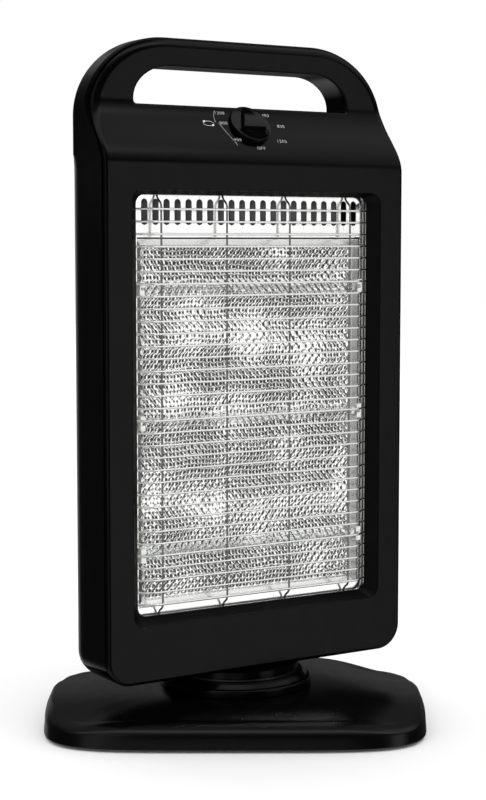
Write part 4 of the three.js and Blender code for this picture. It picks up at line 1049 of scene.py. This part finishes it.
# cross-head screw: a low dome over (r, angle), its cross sunk as the smaller distance to two axes
# falls under half the groove's width; then the rim, a flat underside and the shank
def panScrew(name, node, place, axis, radius, high, length, cross=0.6, body="head"):
    shank = 1.6
    axis = np.asarray(axis, float)
    across = np.cross(axis, [0, 0, 1]) if abs(axis[2]) < 0.9 else np.array([1.0, 0, 0])
    across /= np.linalg.norm(across)
    up = np.cross(axis, across)
    r = (np.concatenate([np.linspace(0, 0.85, 20), [0.93, 0.98, 1.0]]) * radius)[:, None]
    angle = np.arange(64) * 2 * np.pi / 64
    x, y = r * np.cos(angle), r * np.sin(angle)
    dome = high * (0.45 + 0.55 * np.sqrt(np.maximum(0, 1 - (r / radius) ** 2)))
    arm = np.minimum(np.abs(x), np.abs(y))
    sunk = smooth((cross - arm) / 0.25) * smooth((0.66 * radius - r) / 0.3)
    top = dome - 0.95 * high * sunk * (1 - 0.45 * r / radius)
    rows = [np.stack([x, y, top], -1)]
    ring = np.stack([np.cos(angle), np.sin(angle)], -1)
    for rr, h in ((radius, 0.1), (0.97 * radius, 0.0), (shank, 0.0), (shank, -length), (0.0, -length)):
        rows.append(np.concatenate([ring * rr, np.full((64, 1), h)], 1)[None])
    points = np.concatenate(rows)
    points = np.asarray(place) + points[..., :1] * across + points[..., 1:2] * up + points[..., 2:] * axis
    makePiece(name, [sheet(points, closedV=True)], body, screwSteel, node, "screw_steel")


panScrew("reflectorScrew", "reflector_screw", (100.6, -25.5, 402.4), (0, -1, 0), 2.9, 1.5, 7.0, cross=0.55)
for i, (x, z) in enumerate(((121, 62), (-121, 62), (121, 400), (-121, 400))):
    panScrew(f"rearScrew{i + 1}", f"rear_screw_{i + 1}", (x, 14.4, z), (0, 1, 0), 3.4, 2.2, 18.0)

# ---- dial ----

dialForm = dict(height=463.0, radius=17.3, low=0.9, edge=0.7, ridge=-5.7, top=6.9, fall=5.4, face=3.0,
                lean=0.147, tip=1.5, spread=0.4, bowl=1.9, bowlHalf=13.2, bowlLong=10.6, shaft=3.0,
                shaftEnd=-9.0, rings=110, spokes=256)
dialSlope = float((frontY(463.6) - frontY(463.4)) / 0.2)
dialNormal = np.array([0, -1, dialSlope]) / math.hypot(1, dialSlope)
dialUp = np.array([0, dialSlope, 1]) / math.hypot(1, dialSlope)


# dial: height over (r, angle); a face that leans by a straight rule, a fan-shaped grip whose top falls
# with the square of the way to its tip, and before its ridge an oval bowl whose wall rises with the
# cube of its radius
def buildDial():
    d = dialForm
    radius, edge, low, ridge = d["radius"], d["edge"], d["low"], d["ridge"]
    angle = np.arange(d["spokes"]) * 2 * np.pi / d["spokes"]
    r = ((radius - edge - 0.1) * np.linspace(0, 1, d["rings"]) ** 0.8)[:, None]
    x, y = r * np.cos(angle), r * np.sin(angle)
    face = d["face"] - d["lean"] * y
    share = np.clip((y - ridge) / (radius - ridge), 0, 1)
    top = np.maximum(d["top"] - d["fall"] * share ** 2, face)
    half = d["tip"] + d["spread"] * (radius - y)
    grip = face + (top - face) * smooth((half - np.abs(x) + 0.6) / 1.2)
    s = np.clip(np.hypot(x / d["bowlHalf"], (y - ridge) / d["bowlLong"]), 0, 1)
    bowl = d["bowl"] + (face - d["bowl"]) * s ** 3
    height = grip + (bowl - grip) * smooth(ridge + 0.5 - y)

    # rounded brim, then the side, the flat underside and the shaft
    ring = np.stack([np.cos(angle), np.sin(angle)], -1)
    rows = [np.stack([x, y, height], -1)]
    edges = [(radius - edge * (1 - math.sin(a)) - 0.1, height[-1] - edge * (1 - math.cos(a)))
             for a in np.radians(np.linspace(12, 90, 7))]
    edges += [(radius, 1.3), (radius - 0.1, low + 0.1), (radius - 0.4, low), (d["shaft"], low),
              (d["shaft"], d["shaftEnd"]), (0.0, d["shaftEnd"])]
    for rr, z in edges:
        rows.append(np.concatenate([ring * rr, np.broadcast_to(z, len(ring))[:, None]], 1)[None])
    points = np.concatenate(rows)
    place = np.array([0, float(frontY(d["height"])), d["height"]])
    points = place + points[..., :1] * [1, 0, 0] + points[..., 1:2] * dialUp + points[..., 2:] * dialNormal
    makePiece("controlDial", [sheet(points, closedV=True)], "knob", knobAbs, "control_knob", "knob_plastic")


buildDial()

# ---- printing on the sloped panel: plain numbers, OFF, a thin arc and a swing sign ----

printForm = dict(tall=2.7, narrow=1.2, gap=1.25, thin=-0.022, line=0.16, signLine=0.22, lift=0.06,
                 marks=(("1200", -23.9, 471.2), ("800", -22.7, 463.4), ("400", -15.6, 450.8),
                        ("400", 17.5, 470.8), ("800", 28.8, 462.6), ("1200", 24.2, 450.6),
                        ("OFF", 3.0, 444.6)))


# puts flat outlines drawn in x and height onto the panel: y follows the panel's front
def printPiece(name, points, faces):
    points = np.asarray(points, float)
    y = frontY(points[:, 1]) - printForm["lift"]
    mesh = bpy.data.meshes.new(name)
    mesh.from_pydata(np.stack([points[:, 0], y, points[:, 1]], 1) * 0.001, [], faces)
    mesh.materials.append(printedInk)
    addPiece(name, mesh, "head", "white_plastic")


# printing: each mark is lettering made a flat mesh, and each line a strip of quads
def buildPrinting():
    f = printForm
    for i, (words, x, z) in enumerate(f["marks"]):
        curve = bpy.data.curves.new("lettering", "FONT")
        curve.body = words
        curve.align_x = "CENTER"
        curve.size = 1.0
        curve.resolution_u = 4
        curve.space_character = f["gap"]
        curve.offset = f["thin"]
        text = bpy.data.objects.new("lettering", curve)
        scene.collection.objects.link(text)
        bpy.context.view_layer.update()
        mesh = text.evaluated_get(bpy.context.evaluated_depsgraph_get()).to_mesh()
        flat = np.zeros(len(mesh.vertices) * 3)
        mesh.vertices.foreach_get("co", flat)
        flat = flat.reshape(-1, 3)
        faces = [tuple(p.vertices) for p in mesh.polygons]
        scale = f["tall"] / 0.7
        points = np.stack([x + flat[:, 0] * scale, z + flat[:, 1] * scale / f["narrow"]], 1)
        bpy.data.objects.remove(text)
        printPiece(f"dialPrint{i + 1}", points, faces)

    # a line of given width along points, as one strip of quads
    def strip(name, x, z, wide, closed=False):
        path = np.stack([x, z], 1)
        along = np.roll(path, -1, 0) - np.roll(path, 1, 0) if closed else np.gradient(path, axis=0)
        along /= np.linalg.norm(along, axis=1, keepdims=True)
        side = np.stack([-along[:, 1], along[:, 0]], 1) * wide / 2
        n = len(path)
        i = np.arange(n if closed else n - 1)
        faces = np.stack([i, (i + 1) % n, (i + 1) % n + n, i + n], 1).tolist()
        printPiece(name, np.concatenate([path - side, path + side]), faces)

    s = np.linspace(0, 1, 24)
    strip("settingLine", -27.2 * (1 - s) - 17.4 * s, 464.6 * (1 - s) + 447.4 * s, f["line"])
    t = np.radians(np.linspace(120, 205, 24))
    strip("settingArc", -25.2 + 4.6 * np.cos(t), 468.0 + 7.0 * np.sin(t), f["line"])
    t = np.radians(np.linspace(0, 360, 48, endpoint=False))
    strip("swingSign", -36.2 + 4.6 * np.cos(t), 463.8 + 1.8 * np.sin(t), f["signLine"], closed=True)
    # two arrow heads, the second the first turned half round the sign's middle
    arrow = np.array([[-41.0, 465.4], [-38.8, 466.2], [-39.0, 464.5]])
    printPiece("swingArrow1", arrow, [(0, 2, 1)])
    printPiece("swingArrow2", np.array([[-72.4, 927.8]]) - arrow, [(0, 2, 1)])


buildPrinting()
print("dial and printing made")

# ---- underside ----

footForm = dict(radius=8.0, high=3.2, hollow=3.6, hollowHigh=0.7, hollowEdge=4.4, round=1.0, taper=0.6,
                places=((112, 78), (-112, 78), (-112, -78), (112, -78)),
                screws=((118, 0), (-118, 0), (30, 92), (-30, 92)))


# foot: a turned profile, a rounded pad with a shallow hollow in its middle
def buildFeet():
    f = footForm
    r, h, e, up = f["radius"], f["high"], f["round"], f["hollowHigh"]
    runs = straights((0.01, up), (f["hollow"], up), (f["hollowEdge"], 0), (r - e, 0))
    runs += [arc(r - e, e, e, -90, 0, 6)] + straights((r, e), (r - f["taper"], h), (0.01, h))
    for i, (x, y) in enumerate(f["places"]):
        sheets = [dict(part, points=turnBase(part["points"])) for part in turnedRuns(runs, x, y, 48)]
        makePiece(f"rubberFoot{i + 1}", sheets, "base", pressedRubber, f"rubber_foot_{i + 1}", "rubber")
    for i, (x, y) in enumerate(f["screws"]):
        place = turnBase(np.array([x, y, h]))
        panScrew(f"baseScrew{i + 1}", f"base_screw_{i + 1}", place, (0, 0, -1), 3.4, 1.5, 10.0, body="base")


buildFeet()
print("underside made")

# ---- finishes of the carried-over nodes ----

nodeFinish = dict(heat_shield=zincSheet, holder_bracket_left=zincSheet, holder_bracket_right=zincSheet,
                  rotary_switch=whiteNylon, terminal_block=whiteNylon, thermal_cutout=zincSheet,
                  swing_motor=zincSheet, swing_crank=whiteNylon, swing_link=zincSheet,
                  base_plate=undersideAbs,
                  ballast_plate=castWeight, pivot_tube=zincSheet, retaining_nut=screwSteel,
                  plunger_housing=whiteNylon, tip_plunger=undersideAbs, plunger_spring=screwSteel,
                  cord_gland=pressedRubber)
for nodeName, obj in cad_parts.items():
    obj.data.materials.clear()
    obj.data.materials.append(nodeFinish.get(nodeName, glossAbs))

# ---- floor, light and background ----

floorMaterial, tree, shader = newMaterial("paleStudioFloor")
shader.inputs["Base Color"].default_value = hexColour("#f7f7f7")
shader.inputs["Roughness"].default_value = 0.8
bpy.ops.mesh.primitive_plane_add(size=12)
floor = bpy.context.object
floor.name = "studioFloor"
floor.data.materials.append(floorMaterial)
floor.visible_glossy = False

# studio: white all round for the eye and for soft light; reflections see a dim room with a pale
# floor and a few large soft panels, each given by its direction, size in degrees and strength
roomForm = dict(white=1.0, soft=1.3, dim=0.05, floorTone=0.9, ceiling=0.35)
panels = [dict(azimuth=28, elevation=-2, wide=12, high=19, blur=6, strength=1.4),
          dict(azimuth=62, elevation=44, wide=24, high=21, blur=8, strength=0.9),
          dict(azimuth=-62, elevation=8, wide=12, high=38, blur=8, strength=0.9),
          dict(azimuth=-32, elevation=-9, wide=14, high=9, blur=5, strength=0.5),
          dict(azimuth=-32, elevation=72, wide=42, high=9, blur=6, strength=2.0),
          dict(azimuth=176, elevation=2, wide=10, high=30, blur=6, strength=0.35),
          dict(azimuth=148, elevation=24, wide=42, high=22, blur=14, strength=0.11)]

world = bpy.data.worlds.new("studio")
scene.world = world
world.use_nodes = True
tree = world.node_tree
direction = addNode(tree, "ShaderNodeTexCoord").outputs["Generated"]
height = addNode(tree, "ShaderNodeSeparateXYZ", {0: direction}).outputs[2]
down, up = (addNode(tree, "ShaderNodeMapRange",
                    {"Value": height, "From Min": begin, "From Max": end, "To Min": 0.0, "To Max": tone},
                    interpolation_type="SMOOTHSTEP")
            for begin, end, tone in ((-0.36, -0.6, roomForm["floorTone"]), (0.55, 0.9, roomForm["ceiling"])))
total = addNode(tree, "ShaderNodeMath", {0: down.outputs[0], 1: up.outputs[0]}, operation="ADD")
total = addNode(tree, "ShaderNodeMath", {0: total.outputs[0], 1: roomForm["dim"]}, operation="ADD")
for panel in panels:
    a, e = math.radians(panel["azimuth"]), math.radians(panel["elevation"])
    forward = (math.sin(a) * math.cos(e), -math.cos(a) * math.cos(e), math.sin(e))
    sideways = (math.cos(a), math.sin(a), 0)
    upward = (-math.sin(a) * math.sin(e), math.cos(a) * math.sin(e), math.cos(e))
    ahead = addNode(tree, "ShaderNodeVectorMath", {0: direction, 1: forward}, operation="DOT_PRODUCT")
    ahead = addNode(tree, "ShaderNodeMath", {0: ahead.outputs["Value"], 1: 0.02}, operation="MAXIMUM")
    share = None
    for axis, size in ((sideways, panel["wide"]), (upward, panel["high"])):
        off = addNode(tree, "ShaderNodeVectorMath", {0: direction, 1: axis}, operation="DOT_PRODUCT")
        ratio = addNode(tree, "ShaderNodeMath", {0: off.outputs["Value"], 1: ahead.outputs[0]},
                        operation="DIVIDE")
        ratio = addNode(tree, "ShaderNodeMath", {0: ratio.outputs[0]}, operation="ABSOLUTE")
        mask = addNode(tree, "ShaderNodeMapRange",
                       {"Value": ratio.outputs[0], "From Min": math.tan(math.radians(size + panel["blur"])),
                        "From Max": math.tan(math.radians(max(1, size - panel["blur"])))},
                       interpolation_type="SMOOTHSTEP")
        if share is None:
            share = mask
        else:
            share = addNode(tree, "ShaderNodeMath", {0: share.outputs[0], 1: mask.outputs[0]},
                            operation="MULTIPLY")
    glow = addNode(tree, "ShaderNodeMath", {0: share.outputs[0], 1: panel["strength"]}, operation="MULTIPLY")
    total = addNode(tree, "ShaderNodeMath", {0: total.outputs[0], 1: glow.outputs[0]}, operation="ADD")
path = addNode(tree, "ShaderNodeLightPath")
soft = addNode(tree, "ShaderNodeMix",
               {0: path.outputs["Is Diffuse Ray"], 2: total.outputs[0], 3: roomForm["soft"]})
seen = addNode(tree, "ShaderNodeMix",
               {0: path.outputs["Is Camera Ray"], 2: soft.outputs[0], 3: roomForm["white"]})
background = tree.nodes["Background"]
background.inputs["Color"].default_value = (1, 1, 1, 1)
tree.links.new(seen.outputs[0], background.inputs["Strength"])

scene.view_settings.view_transform = "Standard"
print("studio made")
